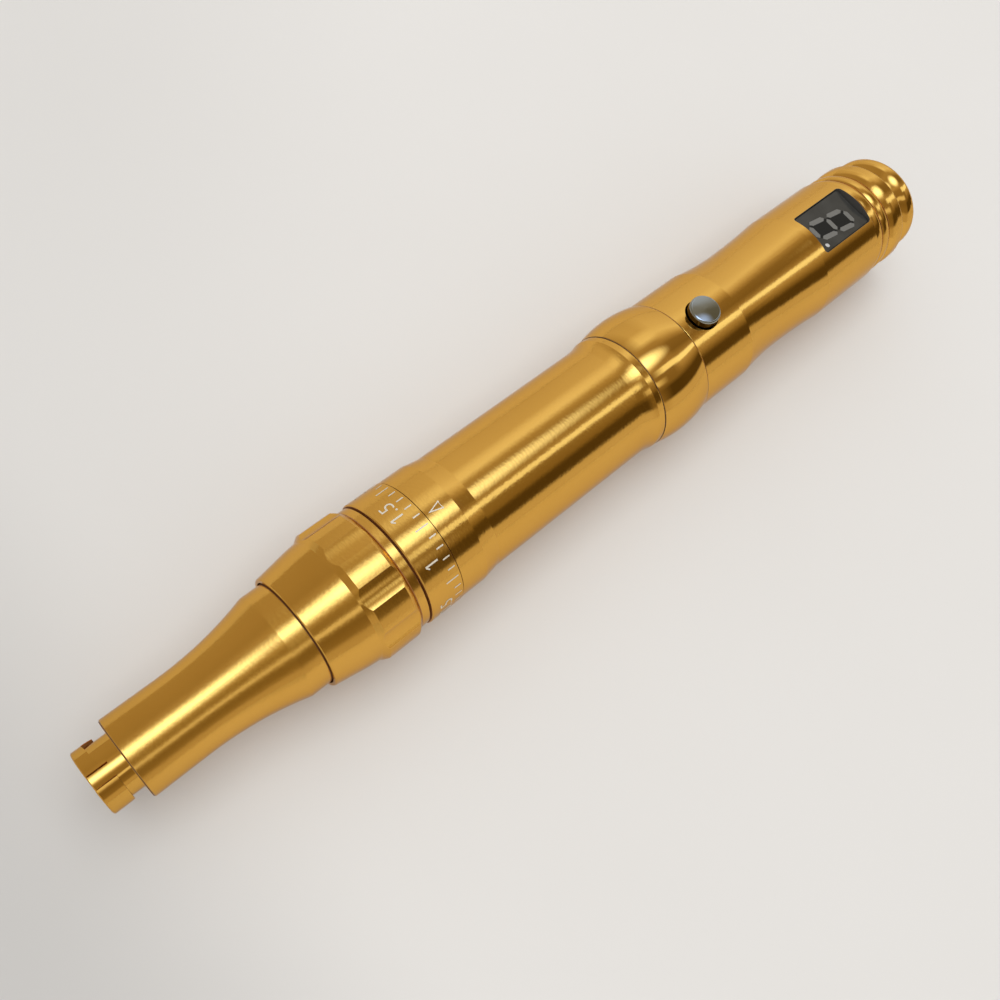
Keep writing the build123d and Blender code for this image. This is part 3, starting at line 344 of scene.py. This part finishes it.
# Needle collar. The bayonet socket that a needle cartridge is pushed and turned into, of aluminium. It is
# turned, milled for its two slots, polished and dyed gold in the anodising bath.
gold_darker, gold_lighter = (0.71, 0.370, 0.058, 1), (0.76, 0.410, 0.072, 1)
gold_edge = (0.72, 0.62, 0.50, 1)
patch_scale, speck_scale = 90.0, 3500.0
lathe_scale = (3200, 1500, 1500)
shine_spread = 0.25
gap_roughness = 0.6
MICRON = 0.001 * MM


def bump_node(tree, height, distance, under=None):
    """Raise the surface by a pattern, over what raises it already."""
    node = tree.nodes.new("ShaderNodeBump")
    node.inputs["Distance"].default_value = distance
    tree.links.new(height, node.inputs["Height"])
    if under is not None:
        tree.links.new(under, node.inputs["Normal"])
    return node.outputs["Normal"]


def gold_finish(name, roughness, grain, rings):
    """Gold-dyed anodised aluminium: fine grain, rings left by the lathe, and a clear hard skin."""
    material, tree, shader = new_finish(name)
    shader.inputs["Metallic"].default_value = 1.0
    shader.inputs["Specular Tint"].default_value = gold_edge
    shader.inputs["Coat Weight"].default_value = 0.2
    shader.inputs["Coat Roughness"].default_value = 0.12
    patches = noise_node(tree, patch_scale)
    specks = noise_node(tree, speck_scale)
    stretch = tree.nodes.new("ShaderNodeMapping")
    stretch.inputs["Scale"].default_value = lathe_scale
    tree.links.new(object_place(tree), stretch.inputs["Vector"])
    lathe = noise_node(tree, scale=1.0, detail=1.0, place=stretch.outputs["Vector"])
    shine_range = (roughness * (1 - shine_spread), roughness * (1 + shine_spread))
    shine = range_node(tree, specks, (0.0, 1.0), shine_range)
    surface = bump_node(tree, lathe, rings, bump_node(tree, specks, grain))
    tree.links.new(colour_mix(tree, patches, gold_darker, gold_lighter), shader.inputs["Base Color"])
    tree.links.new(shine, shader.inputs["Roughness"])
    tree.links.new(surface, shader.inputs["Normal"])
    return material


def paint(material, *names):
    """Give CAD pieces one material in place of their own."""
    for name in names:
        mesh = nodes_of[name].data
        mesh.materials.clear()
        mesh.materials.append(material)


def blacken(material, mask, colour):
    """Turn the metal dark and dull where a mask is 1, as painted shade in a narrow gap or groove, or as a
    dark joint.
    """
    tree = material.node_tree
    shader = tree.nodes["Principled BSDF"]
    metal_colour = shader.inputs["Base Color"].links[0].from_socket
    metal_shine = shader.inputs["Roughness"].links[0].from_socket
    metal = math_node(tree, "SUBTRACT", 1.0, mask)
    if shader.inputs["Metallic"].links:
        metal = math_node(tree, "MINIMUM", metal, shader.inputs["Metallic"].links[0].from_socket)
    dulled = math_node(tree, "MAXIMUM", metal_shine, math_node(tree, "MULTIPLY", mask, gap_roughness))
    tree.links.new(colour_mix(tree, mask, metal_colour, colour), shader.inputs["Base Color"])
    tree.links.new(dulled, shader.inputs["Roughness"])
    tree.links.new(metal, shader.inputs["Metallic"])


def radius_of(tree, axes):
    """The distance from the pen's middle line."""
    across_squared = math_node(tree, "MULTIPLY", axes["Y"], axes["Y"])
    return math_node(tree, "SQRT", math_node(tree, "MULTIPLY_ADD", axes["Z"], axes["Z"], across_squared))


slot_wall, slot_wall_half = 3.90 * MM, 0.17 * MM
socket_skin = 2.9 * MM
face_depth = 0.14 * MM
slot_shade = (0.170, 0.062, 0.012, 1)
collar_gold = gold_finish("polished_gold_collar", roughness=0.07, grain=0.5 * MICRON, rings=2.5 * MICRON)
collar_tree = collar_gold.node_tree
collar_axes = place_axes(collar_tree)
collar_radius = radius_of(collar_tree, collar_axes)
slot_sides = math_node(collar_tree, "COMPARE", collar_radius, slot_wall, slot_wall_half)
socket_side = math_node(collar_tree, "LESS_THAN", collar_radius, socket_skin)
behind_face = math_node(collar_tree, "GREATER_THAN", collar_axes["X"], face_depth)
shaded_walls = math_node(collar_tree, "MAXIMUM", slot_sides, socket_side)
blacken(collar_gold, math_node(collar_tree, "MULTIPLY", shaded_walls, behind_face), slot_shade)
paint(collar_gold, "needle_collar")


# Nose cone. A tapered aluminium tube, turned, dyed gold and left satin, that slides along the body when the
# sleeve behind it is turned. Painted shade darkens the narrow gap behind its band and its front edge by the
# collar.
def seam_mask(tree, *seams):
    """1 inside each seam, given as its middle and its half width along the pen in millimetres."""
    along = place_axes(tree)["X"]
    mask = None
    for middle, half in seams:
        inside = math_node(tree, "COMPARE", along, middle * MM, half * MM)
        mask = inside if mask is None else math_node(tree, "MAXIMUM", mask, inside)
    return mask


nose_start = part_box("nose_cone")[0][0] / MM
sleeve_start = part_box("adjusting_sleeve")[0][0] / MM
# Painted shade: the nose's front edge and the gap behind its band are darkened.
nose_front = (nose_start + 0.09, 0.06)
nose_seam = (sleeve_start - 0.02, 0.10)
nose_gap_shade = (0.120, 0.040, 0.010, 1)
nose_gold = gold_finish("satin_gold_nose", roughness=0.19, grain=2.0 * MICRON, rings=8.0 * MICRON)
blacken(nose_gold, seam_mask(nose_gold.node_tree, nose_front, nose_seam), nose_gap_shade)
paint(nose_gold, "nose_cone")


# Keys, bushes and retaining ring. Two ground steel keys stop the nose from turning, acetal bushes guide the
# needle bar, and a steel ring snaps into the hub's groove to hold the sleeve.
def plain_finish(name, colour, roughness, metallic=0.0, speck=2500.0, bump=2.0 * MICRON, spread=0.12):
    """A plain solid finish with a little mottle and a fine surface."""
    material, tree, shader = new_finish(name)
    shader.inputs["Metallic"].default_value = metallic
    shader.inputs["Roughness"].default_value = roughness
    mottle = noise_node(tree, speck)
    darker = (*(part * (1 - spread) for part in colour), 1)
    lighter = (*(min(1.0, part * (1 + spread)) for part in colour), 1)
    tree.links.new(colour_mix(tree, mottle, darker, lighter), shader.inputs["Base Color"])
    tree.links.new(bump_node(tree, mottle, bump), shader.inputs["Normal"])
    return material


ground_steel = plain_finish("ground_steel", (0.62, 0.62, 0.63), roughness=0.22, metallic=1.0)
white_acetal = plain_finish("white_acetal", (0.80, 0.80, 0.77), roughness=0.45)
paint(ground_steel, "nose_keys", "retaining_ring")
paint(white_acetal, "front_bush", "rear_bush")

# Needle drive. A ground steel bar with an acetal tip pushes the needle. The return spring stands in front of
# its aluminium drive plate and holds the follower pin against the cam.
bare_aluminium = plain_finish("bare_aluminium", (0.80, 0.80, 0.81), roughness=0.28, metallic=1.0)
spring_steel = plain_finish("spring_steel", (0.50, 0.50, 0.52), roughness=0.30, metallic=1.0)
paint(ground_steel, "needle_bar", "follower_pin")
paint(white_acetal, "bar_tip")
paint(bare_aluminium, "drive_plate")
coil_turns = 4
coil_steps = 24
wire_radius = 0.2 * MM
spring_low, spring_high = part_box("return_spring")
coil_radius = spring_high[2] - wire_radius
coil_start, coil_end = spring_low[0] + wire_radius, spring_high[0] - wire_radius
bpy.ops.object.select_all(action="DESELECT")
bpy.ops.curve.primitive_nurbs_path_add()
return_coil = bpy.context.object
return_coil.name = "return_coil"
coil_line = return_coil.data
coil_line.splines.clear()
coil = coil_line.splines.new("NURBS")
coil.points.add(coil_turns * coil_steps)
for index, point in enumerate(coil.points):
    turn = 2 * pi * index / coil_steps
    along = coil_start + (coil_end - coil_start) * index / (coil_turns * coil_steps)
    point.co = (along, -sin(turn) * coil_radius, cos(turn) * coil_radius, 1)
coil.order_u = 3
coil.use_endpoint_u = True
coil_line.bevel_depth = wire_radius
coil_line.bevel_resolution = 3
coil_line.use_fill_caps = True
bpy.ops.object.convert(target="MESH")
bpy.ops.object.shade_smooth()
return_coil.data.materials.clear()
return_coil.data.materials.append(spring_steel)
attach(return_coil, "pen_body")
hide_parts("return_spring")
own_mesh(return_coil)

# Adjusting sleeve. A turned aluminium sleeve, dyed gold, whose grip ring has nine flutes milled by a round
# cutter. Its feed marks show as fine ribs across each flute.
sleeve_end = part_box("adjusting_sleeve")[1][0] / MM
scale_gap = (sleeve_end + 0.15, 0.165)
rim_step = (sleeve_end - 1.16, 0.07)
rib_start, rib_end = (sleeve_end - 7.21) * MM, (sleeve_end - 1.41) * MM
rib_pitch = 0.31 * MM
rib_depth = 0.5 * MICRON
flute_floor, flute_top = 9.02 * MM, 9.435 * MM
scale_gap_shade = (0.300, 0.105, 0.020, 1)
sleeve_gold = gold_finish("satin_gold_sleeve", roughness=0.15, grain=2.0 * MICRON, rings=8.0 * MICRON)
sleeve_tree = sleeve_gold.node_tree
sleeve_normal = sleeve_tree.nodes["Principled BSDF"].inputs["Normal"]
sleeve_axes = place_axes(sleeve_tree)
flute_middle, flute_half = (flute_floor + flute_top) / 2, (flute_top - flute_floor) / 2
rib_middle, rib_half = (rib_start + rib_end) / 2, (rib_end - rib_start) / 2
at_depth = math_node(sleeve_tree, "COMPARE", radius_of(sleeve_tree, sleeve_axes), flute_middle, flute_half)
at_place = math_node(sleeve_tree, "COMPARE", sleeve_axes["X"], rib_middle, rib_half)
in_flute = math_node(sleeve_tree, "MULTIPLY", at_depth, at_place)
rib_turn = math_node(sleeve_tree, "MULTIPLY", sleeve_axes["X"], 2 * pi / rib_pitch)
ribs = math_node(sleeve_tree, "MULTIPLY", math_node(sleeve_tree, "SINE", rib_turn), in_flute)
ribbed = bump_node(sleeve_tree, ribs, rib_depth, sleeve_normal.links[0].from_socket)
sleeve_tree.links.new(ribbed, sleeve_normal)
blacken(sleeve_gold, seam_mask(sleeve_tree, rim_step, scale_gap), scale_gap_shade)
paint(sleeve_gold, "adjusting_sleeve")

# Friction ring. A ring of black nitrile rubber, pressed into a groove of the hub. It drags on the bore of the
# scale ring and keeps the depth where it is set.
black_rubber = plain_finish("black_rubber", (0.02, 0.02, 0.02), roughness=0.75)
paint(black_rubber, "friction_ring")

# Scale ring. A turned aluminium ring, dyed gold and screwed to the sleeve. A laser burns the ticks and the
# numbers of the needle's depth through the dye, which bares pale metal.
scale_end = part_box("scale_ring")[1][0] / MM
body_gap = (scale_end + 0.06, 0.075)
scale_gold = gold_finish("satin_gold_scale", roughness=0.14, grain=2.0 * MICRON, rings=8.0 * MICRON)
blacken(scale_gold, seam_mask(scale_gold.node_tree, scale_gap, body_gap), scale_gap_shade)
paint(scale_gold, "scale_ring")

laser_dot_scale = 9000.0
laser_darker, laser_lighter = (0.58, 0.50, 0.37, 1), (0.84, 0.78, 0.65, 1)
laser_white, laser_tree, laser_shader = new_finish("laser_white")
laser_shader.inputs["Roughness"].default_value = 0.55
laser_shader.inputs["Metallic"].default_value = 0.2
laser_tone = colour_mix(laser_tree, noise_node(laser_tree, laser_dot_scale), laser_darker, laser_lighter)
laser_tree.links.new(laser_tone, laser_shader.inputs["Base Color"])


def wrap(mark, middle, angle, radius):
    """Lay a flat mark on a ring with its own up towards the tip, at a place along the pen and an angle."""
    for vertex in mark.data.vertices:
        turn = radians(angle) - vertex.co.x / radius
        vertex.co = (middle * MM - vertex.co.y, -sin(turn) * radius, cos(turn) * radius)
    mark.data.materials.clear()
    mark.data.materials.append(laser_white)


def flat_bar(name, width, length, middle=(0, 0), turn=0.0):
    """A flat bar, laid down at its middle and turned about it."""
    bpy.ops.object.select_all(action="DESELECT")
    bpy.ops.mesh.primitive_plane_add(size=1)
    bar = bpy.context.object
    bar.name = name
    for vertex in bar.data.vertices:
        across, along = vertex.co.x * width, vertex.co.y * length
        vertex.co = (
            middle[0] + across * cos(turn) - along * sin(turn),
            middle[1] + across * sin(turn) + along * cos(turn),
            0,
        )
    return bar


def join_pieces(pieces, name):
    """Make one piece of several."""
    bpy.ops.object.select_all(action="DESELECT")
    for piece in pieces:
        piece.select_set(True)
    bpy.context.view_layer.objects.active = pieces[0]
    bpy.ops.object.join()
    bpy.context.object.name = name
    return bpy.context.object


mark_height = 0.012 * MM
mark_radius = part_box("scale_ring")[1][2] + mark_height
mark_line = 0.19 * MM
tick_count = 28
ticks_per_number = 5
tick_end = scale_end - 0.32
long_tick, short_tick = 1.90, 1.03
first_tick_angle = 153.3
tick_step = 9.9
marks = []
for step in range(tick_count):
    tick_length = short_tick if step % ticks_per_number else long_tick
    tick = flat_bar("scale_tick", mark_line, tick_length * MM)
    wrap(tick, tick_end - tick_length / 2, first_tick_angle - step * tick_step, mark_radius)
    marks.append(tick)

number_height = 1.95 * MM
number_share_of_size = 0.70
number_thinning = 0.008
number_middle = scale_end - 2.72
first_number_angle = 132.4
number_step = 50.5
flag_length = 0.55 * MM
flag_shares = (0.25, 0.42)
for index, words in enumerate(("0", "0.5", "1", "1.5", "2", "2.5")):
    bpy.ops.object.select_all(action="DESELECT")
    bpy.ops.object.text_add()
    number = bpy.context.object
    number.data.body = words
    number.data.align_x = "CENTER"
    number.data.align_y = "CENTER"
    number.data.size = number_height / number_share_of_size
    number.data.offset = -number_thinning * number_height
    bpy.ops.object.convert(target="MESH")
    number = bpy.context.object
    if words.startswith("1"):
        left = min(vertex.co.x for vertex in number.data.vertices)
        top = max(vertex.co.y for vertex in number.data.vertices)
        flag_middle = (left - flag_shares[0] * flag_length, top - flag_shares[1] * flag_length)
        flag = flat_bar("flag", mark_line, flag_length, flag_middle, -pi / 4)
        number = join_pieces([number, flag], "number")
    wrap(number, number_middle, first_number_angle - index * number_step, mark_radius)
    marks.append(number)
scale_marks = join_pieces(marks, "scale_marks")
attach(scale_marks, "adjuster")

# Body tube. The long front housing, turned from aluminium bar and dyed gold. A hairline joint shows at
# each end of the ring behind it.
ring_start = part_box("body_tube")[1][0] / MM
shell_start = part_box("coupling_ring")[1][0] / MM
joint_half = 0.05
ring_joints = ((ring_start, joint_half), (shell_start, joint_half))
joint_shade = (0.090, 0.035, 0.010, 1)
joint_bevel = 0.16 * MM
joint_depth = 0.035 * MM


def cut_joints(material, joints):
    """Show each hairline joint as a dark line between two small bevels that catch the light."""
    tree = material.node_tree
    normal = tree.nodes["Principled BSDF"].inputs["Normal"]
    along = place_axes(tree)["X"]
    height = None
    for middle, half in joints:
        away = math_node(tree, "ABSOLUTE", math_node(tree, "SUBTRACT", along, middle * MM))
        level = range_node(tree, away, (half * MM, joint_bevel))
        height = level if height is None else math_node(tree, "MINIMUM", height, level)
    tree.links.new(bump_node(tree, height, joint_depth, normal.links[0].from_socket), normal)
    blacken(material, seam_mask(tree, *joints), joint_shade)


body_gold = gold_finish("satin_gold_body", roughness=0.12, grain=3.0 * MICRON, rings=8.0 * MICRON)
cut_joints(body_gold, ring_joints)
paint(body_gold, "body_tube")

# Pointer. A hollow triangle that the laser burns into the front band of the body, with its point towards the
# scale. The needle's depth is read against it.
pointer_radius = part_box("body_tube")[1][2] + mark_height
pointer_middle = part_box("body_tube")[0][0] / MM + 2.46
pointer_angle = -1.2
pointer_line = 0.15 * MM
pointer_length, pointer_half = 2.0 * MM, 0.62 * MM
pointer_corners = ((0.0, pointer_length), (-pointer_half, 0.0), (pointer_half, 0.0))
bpy.ops.object.select_all(action="DESELECT")
bpy.ops.mesh.primitive_circle_add(vertices=3, fill_type="NGON")
pointer = bpy.context.object
pointer.name = "pointer_mark"
for vertex, corner in zip(pointer.data.vertices, pointer_corners):
    vertex.co = (*corner, 0)
bpy.ops.object.mode_set(mode="EDIT")
bpy.ops.mesh.select_all(action="SELECT")
bpy.ops.mesh.inset(thickness=pointer_line)
bpy.ops.mesh.delete(type="FACE")
bpy.ops.object.mode_set(mode="OBJECT")
wrap(pointer, pointer_middle, pointer_angle, pointer_radius)
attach(pointer, "pen_body")

# Drive housing and motor mount. Turned aluminium parts, left bare inside the body. The housing carries the
# bushes and the mount carries the motor.
paint(bare_aluminium, "drive_housing", "motor_mount")

# Swash cam. A hardened steel disc, ground at a slant and screwed to the motor's shaft, whose face pushes the
# follower as it turns.
dark_steel = plain_finish("blackened_steel", (0.08, 0.08, 0.085), roughness=0.42, metallic=1.0)
hard_steel = plain_finish("hardened_steel", (0.52, 0.51, 0.50), roughness=0.15, metallic=1.0)
paint(hard_steel, "swash_cam")
paint(dark_steel, "cam_screw")

# Motor. A small brushed motor: a plated steel can with blackened magnets and rotor, a copper commutator with
# its brushes, and a white moulded end cap. A rubber sleeve holds it in the body.
plated_steel = plain_finish("plated_steel", (0.70, 0.70, 0.70), roughness=0.25, metallic=1.0)
copper = plain_finish("copper", (0.80, 0.42, 0.22), roughness=0.30, metallic=1.0)
paint(plated_steel, "motor_can")
paint(ground_steel, "motor_shaft")
paint(dark_steel, "rotor_core", "motor_magnets", "motor_screws")
paint(copper, "commutator", "motor_brushes", "motor_terminals")
paint(white_acetal, "motor_end_cap")
paint(black_rubber, "motor_sleeve")

# Coupling ring. A swelling aluminium ring, polished and dyed gold, that screws the body and the rear shell
# together. A hairline joint shows at each of its ends.
ring_gold = gold_finish("polished_gold_ring", roughness=0.06, grain=0.5 * MICRON, rings=1.5 * MICRON)
cut_joints(ring_gold, ring_joints)
paint(ring_gold, "coupling_ring")

# Rear shell. The turned and dyed aluminium housing of the battery, with a beaded end, a round hole for the
# button and a rectangular window. Painted shade darkens the window's walls to a dark grey.
shell_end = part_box("rear_shell")[1][0] / MM
bead_grooves = ((shell_end - 6.6, 0.035), (shell_end - 4.8, 0.04), (shell_end - 2.6, 0.05))
groove_shade = (0.300, 0.115, 0.022, 1)
window_wall_shade = (0.085, 0.083, 0.078, 1)
shell_gold = gold_finish("satin_gold_shell", roughness=0.11, grain=2.0 * MICRON, rings=6.0 * MICRON)
cut_joints(shell_gold, ring_joints)
blacken(shell_gold, seam_mask(shell_gold.node_tree, *bead_grooves), groove_shade)
lens_low, lens_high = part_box("display_lens")
shade_reach = 0.075 * MM
window_corner = 0.6 * MM
window_middle = [(low + high) / 2 for low, high in zip(lens_low, lens_high)]
window_half = [(high - low) / 2 + shade_reach - window_corner for low, high in zip(lens_low, lens_high)]
shell_tree = shell_gold.node_tree
shell_axes = place_axes(shell_tree)
corner_reach = []
for axis in (0, 1):
    away = math_node(shell_tree, "SUBTRACT", shell_axes["XY"[axis]], window_middle[axis])
    away = math_node(shell_tree, "SUBTRACT", math_node(shell_tree, "ABSOLUTE", away), window_half[axis])
    away = math_node(shell_tree, "MAXIMUM", away, 0.0)
    corner_reach.append(math_node(shell_tree, "MULTIPLY", away, away))
window_reach = math_node(shell_tree, "SQRT", math_node(shell_tree, "ADD", *corner_reach))
in_window = math_node(shell_tree, "LESS_THAN", window_reach, window_corner)
upper_half = math_node(shell_tree, "GREATER_THAN", shell_axes["Z"], lens_low[2] / 2)
# Painted shade: the window's walls are darkened to a dark grey.
blacken(shell_gold, math_node(shell_tree, "MULTIPLY", in_window, upper_half), window_wall_shade)
paint(shell_gold, "rear_shell")

# Power button. A cap of chromed brass with a slightly domed face, in a round hole with a dark gap round it.
# Painted shade of the hole makes its wall browner and darker than its face, and a plastic plunger under it
# works the switch.
chrome_grey = (0.315, 0.325, 0.295)
wall_shade_brown = (0.110, 0.095, 0.062, 1)
wall_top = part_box("power_button")[1][2] - 0.50 * MM
button_chrome = plain_finish(
    "button_chrome", chrome_grey, roughness=0.07, metallic=1.0, bump=0.3 * MICRON, spread=0.02
)
button_tree = button_chrome.node_tree
button_colour = button_tree.nodes["Principled BSDF"].inputs["Base Color"]
# Painted shade: the wall below the rim of the face is painted darker and browner.
shaded_button_wall = math_node(button_tree, "LESS_THAN", place_axes(button_tree)["Z"], wall_top)
button_tone = colour_mix(button_tree, shaded_button_wall, button_colour.links[0].from_socket, wall_shade_brown)
button_tree.links.new(button_tone, button_colour)
black_plastic = plain_finish("black_plastic", (0.025, 0.025, 0.025), roughness=0.5)
paint(button_chrome, "power_button")
paint(black_plastic, "switch_plunger", "button_switch")

# Display. A smoked acrylic lens over a single bar digit, whose seven bars and point are pale grey plastic
# windows in a black face. They are moulded in one block and show through the lens when they aren't lit.
lens_smoke = (0.046, 0.046, 0.043)
smoked_lens = plain_finish(
    "smoked_lens", lens_smoke, roughness=0.10, speck=350.0, bump=0.1 * MICRON, spread=0.45
)
display_body = plain_finish("display_body", (0.05, 0.05, 0.05), roughness=0.5)
digit_black = plain_finish(
    "digit_black", (0.016, 0.016, 0.015), roughness=0.25, bump=0.1 * MICRON, spread=0.05
)
digit_black.node_tree.nodes["Principled BSDF"].inputs["Specular IOR Level"].default_value = 0.15
bar_grey = plain_finish("bar_grey", (0.160, 0.155, 0.140), roughness=0.35, bump=0.3 * MICRON, spread=0.06)
point_white = plain_finish("point_white", (0.55, 0.55, 0.54), roughness=0.3, bump=0.3 * MICRON, spread=0.04)
paint(smoked_lens, "display_lens")
paint(display_body, "display_module")

face_rise = 0.004 * MM
bar_rise = 0.010 * MM
digit_middle = (window_middle[0] - 0.40 * MM, -0.47 * MM)
digit_slant = 0.150
bar_step = 3.68 * MM
bar_spread = 3.00 * MM
bar_width = 0.82 * MM
bar_gap = 0.64 * MM


def digit_piece(name, outline, rise, finish):
    """A flat piece of the digit on the lens, from its outline across and along the digit."""
    bpy.ops.object.select_all(action="DESELECT")
    bpy.ops.mesh.primitive_circle_add(vertices=len(outline), fill_type="NGON")
    piece = bpy.context.object
    piece.name = name
    for vertex, (across, along) in zip(piece.data.vertices, outline):
        vertex.co = (
            digit_middle[0] + along,
            digit_middle[1] - across - along * digit_slant,
            lens_high[2] + rise,
        )
    piece.data.materials.append(finish)
    return piece


def bar_outline(across, along, length, upright):
    """The six corners of a bar with pointed ends."""
    reach, shoulder, half = length / 2, (length - bar_width) / 2, bar_width / 2
    upper = ((reach, 0), (shoulder, half), (-shoulder, half))
    corners = upper + tuple((-u, -v) for u, v in upper)
    if upright:
        return [(across + v, along + u) for u, v in corners][::-1]
    return [(across + u, along + v) for u, v in corners]


face_half, face_reach = 1.30 * MM, 3.60 * MM
face_sides = ((1, 1), (-1, 1), (-1, -1), (1, -1))
face_outline = [(across * face_half, along * face_reach) for across, along in face_sides]
digit_pieces = [digit_piece("digit_face", face_outline, face_rise, digit_black)]
for row in (-1, 0, 1):
    outline = bar_outline(0, row * bar_step, bar_spread - bar_gap, upright=False)
    digit_pieces.append(digit_piece("digit_bar", outline, bar_rise, bar_grey))
for row in (-0.5, 0.5):
    for side in (-0.5, 0.5):
        outline = bar_outline(side * bar_spread, row * bar_step, bar_step - bar_gap, upright=True)
        digit_pieces.append(digit_piece("digit_bar", outline, bar_rise, bar_grey))
point_sides = 16
point_size = 0.34 * MM
point_middle = (2.76 * MM, -3.70 * MM)
point_turns = [2 * pi * index / point_sides for index in range(point_sides)]
point_outline = [
    (point_middle[0] + point_size * cos(turn), point_middle[1] + point_size * sin(turn))
    for turn in point_turns
]
digit_pieces.append(digit_piece("digit_point", point_outline, bar_rise, point_white))
display_digit = join_pieces(digit_pieces, "display_digit")
bpy.ops.object.mode_set(mode="EDIT")
bpy.ops.mesh.select_all(action="SELECT")
bpy.ops.mesh.normals_make_consistent(inside=False)
bpy.ops.object.mode_set(mode="OBJECT")
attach(display_digit, "pen_body")

# Chassis and battery. A moulded black cradle holds a lithium cell in its blue film, with nickel tabs welded
# to both ends.
cell_wrap = plain_finish("cell_wrap", (0.04, 0.13, 0.38), roughness=0.35)
nickel = plain_finish("nickel", (0.66, 0.64, 0.60), roughness=0.28, metallic=1.0)
paint(black_plastic, "chassis")
paint(cell_wrap, "battery_cell")
paint(nickel, "cell_tabs")

# Control board. A glass fibre board with a green solder mask, carried by the chassis, with black moulded
# parts soldered to it.
solder_mask = plain_finish("solder_mask", (0.015, 0.16, 0.06), roughness=0.3)
dark_package = plain_finish("dark_package", (0.03, 0.03, 0.033), roughness=0.55)
paint(solder_mask, "control_board")
paint(dark_package, "board_parts")

# Charging jack. A moulded socket of black plastic with copper lugs, pushed into the tail cap. Its barrel is
# flush with the end of the pen.
paint(black_plastic, "charging_jack")
paint(copper, "jack_lugs")

# Tail cap. A turned aluminium cap with a flat end, polished and dyed gold. It is screwed into the rear shell,
# and has a deep groove next to the shell's last bead.
tail_groove = (shell_end + 0.9, 0.09)
tail_gold = gold_finish("polished_gold_tail", roughness=0.05, grain=0.5 * MICRON, rings=1.5 * MICRON)
blacken(tail_gold, seam_mask(tail_gold.node_tree, tail_groove), groove_shade)
paint(tail_gold, "tail_cap")
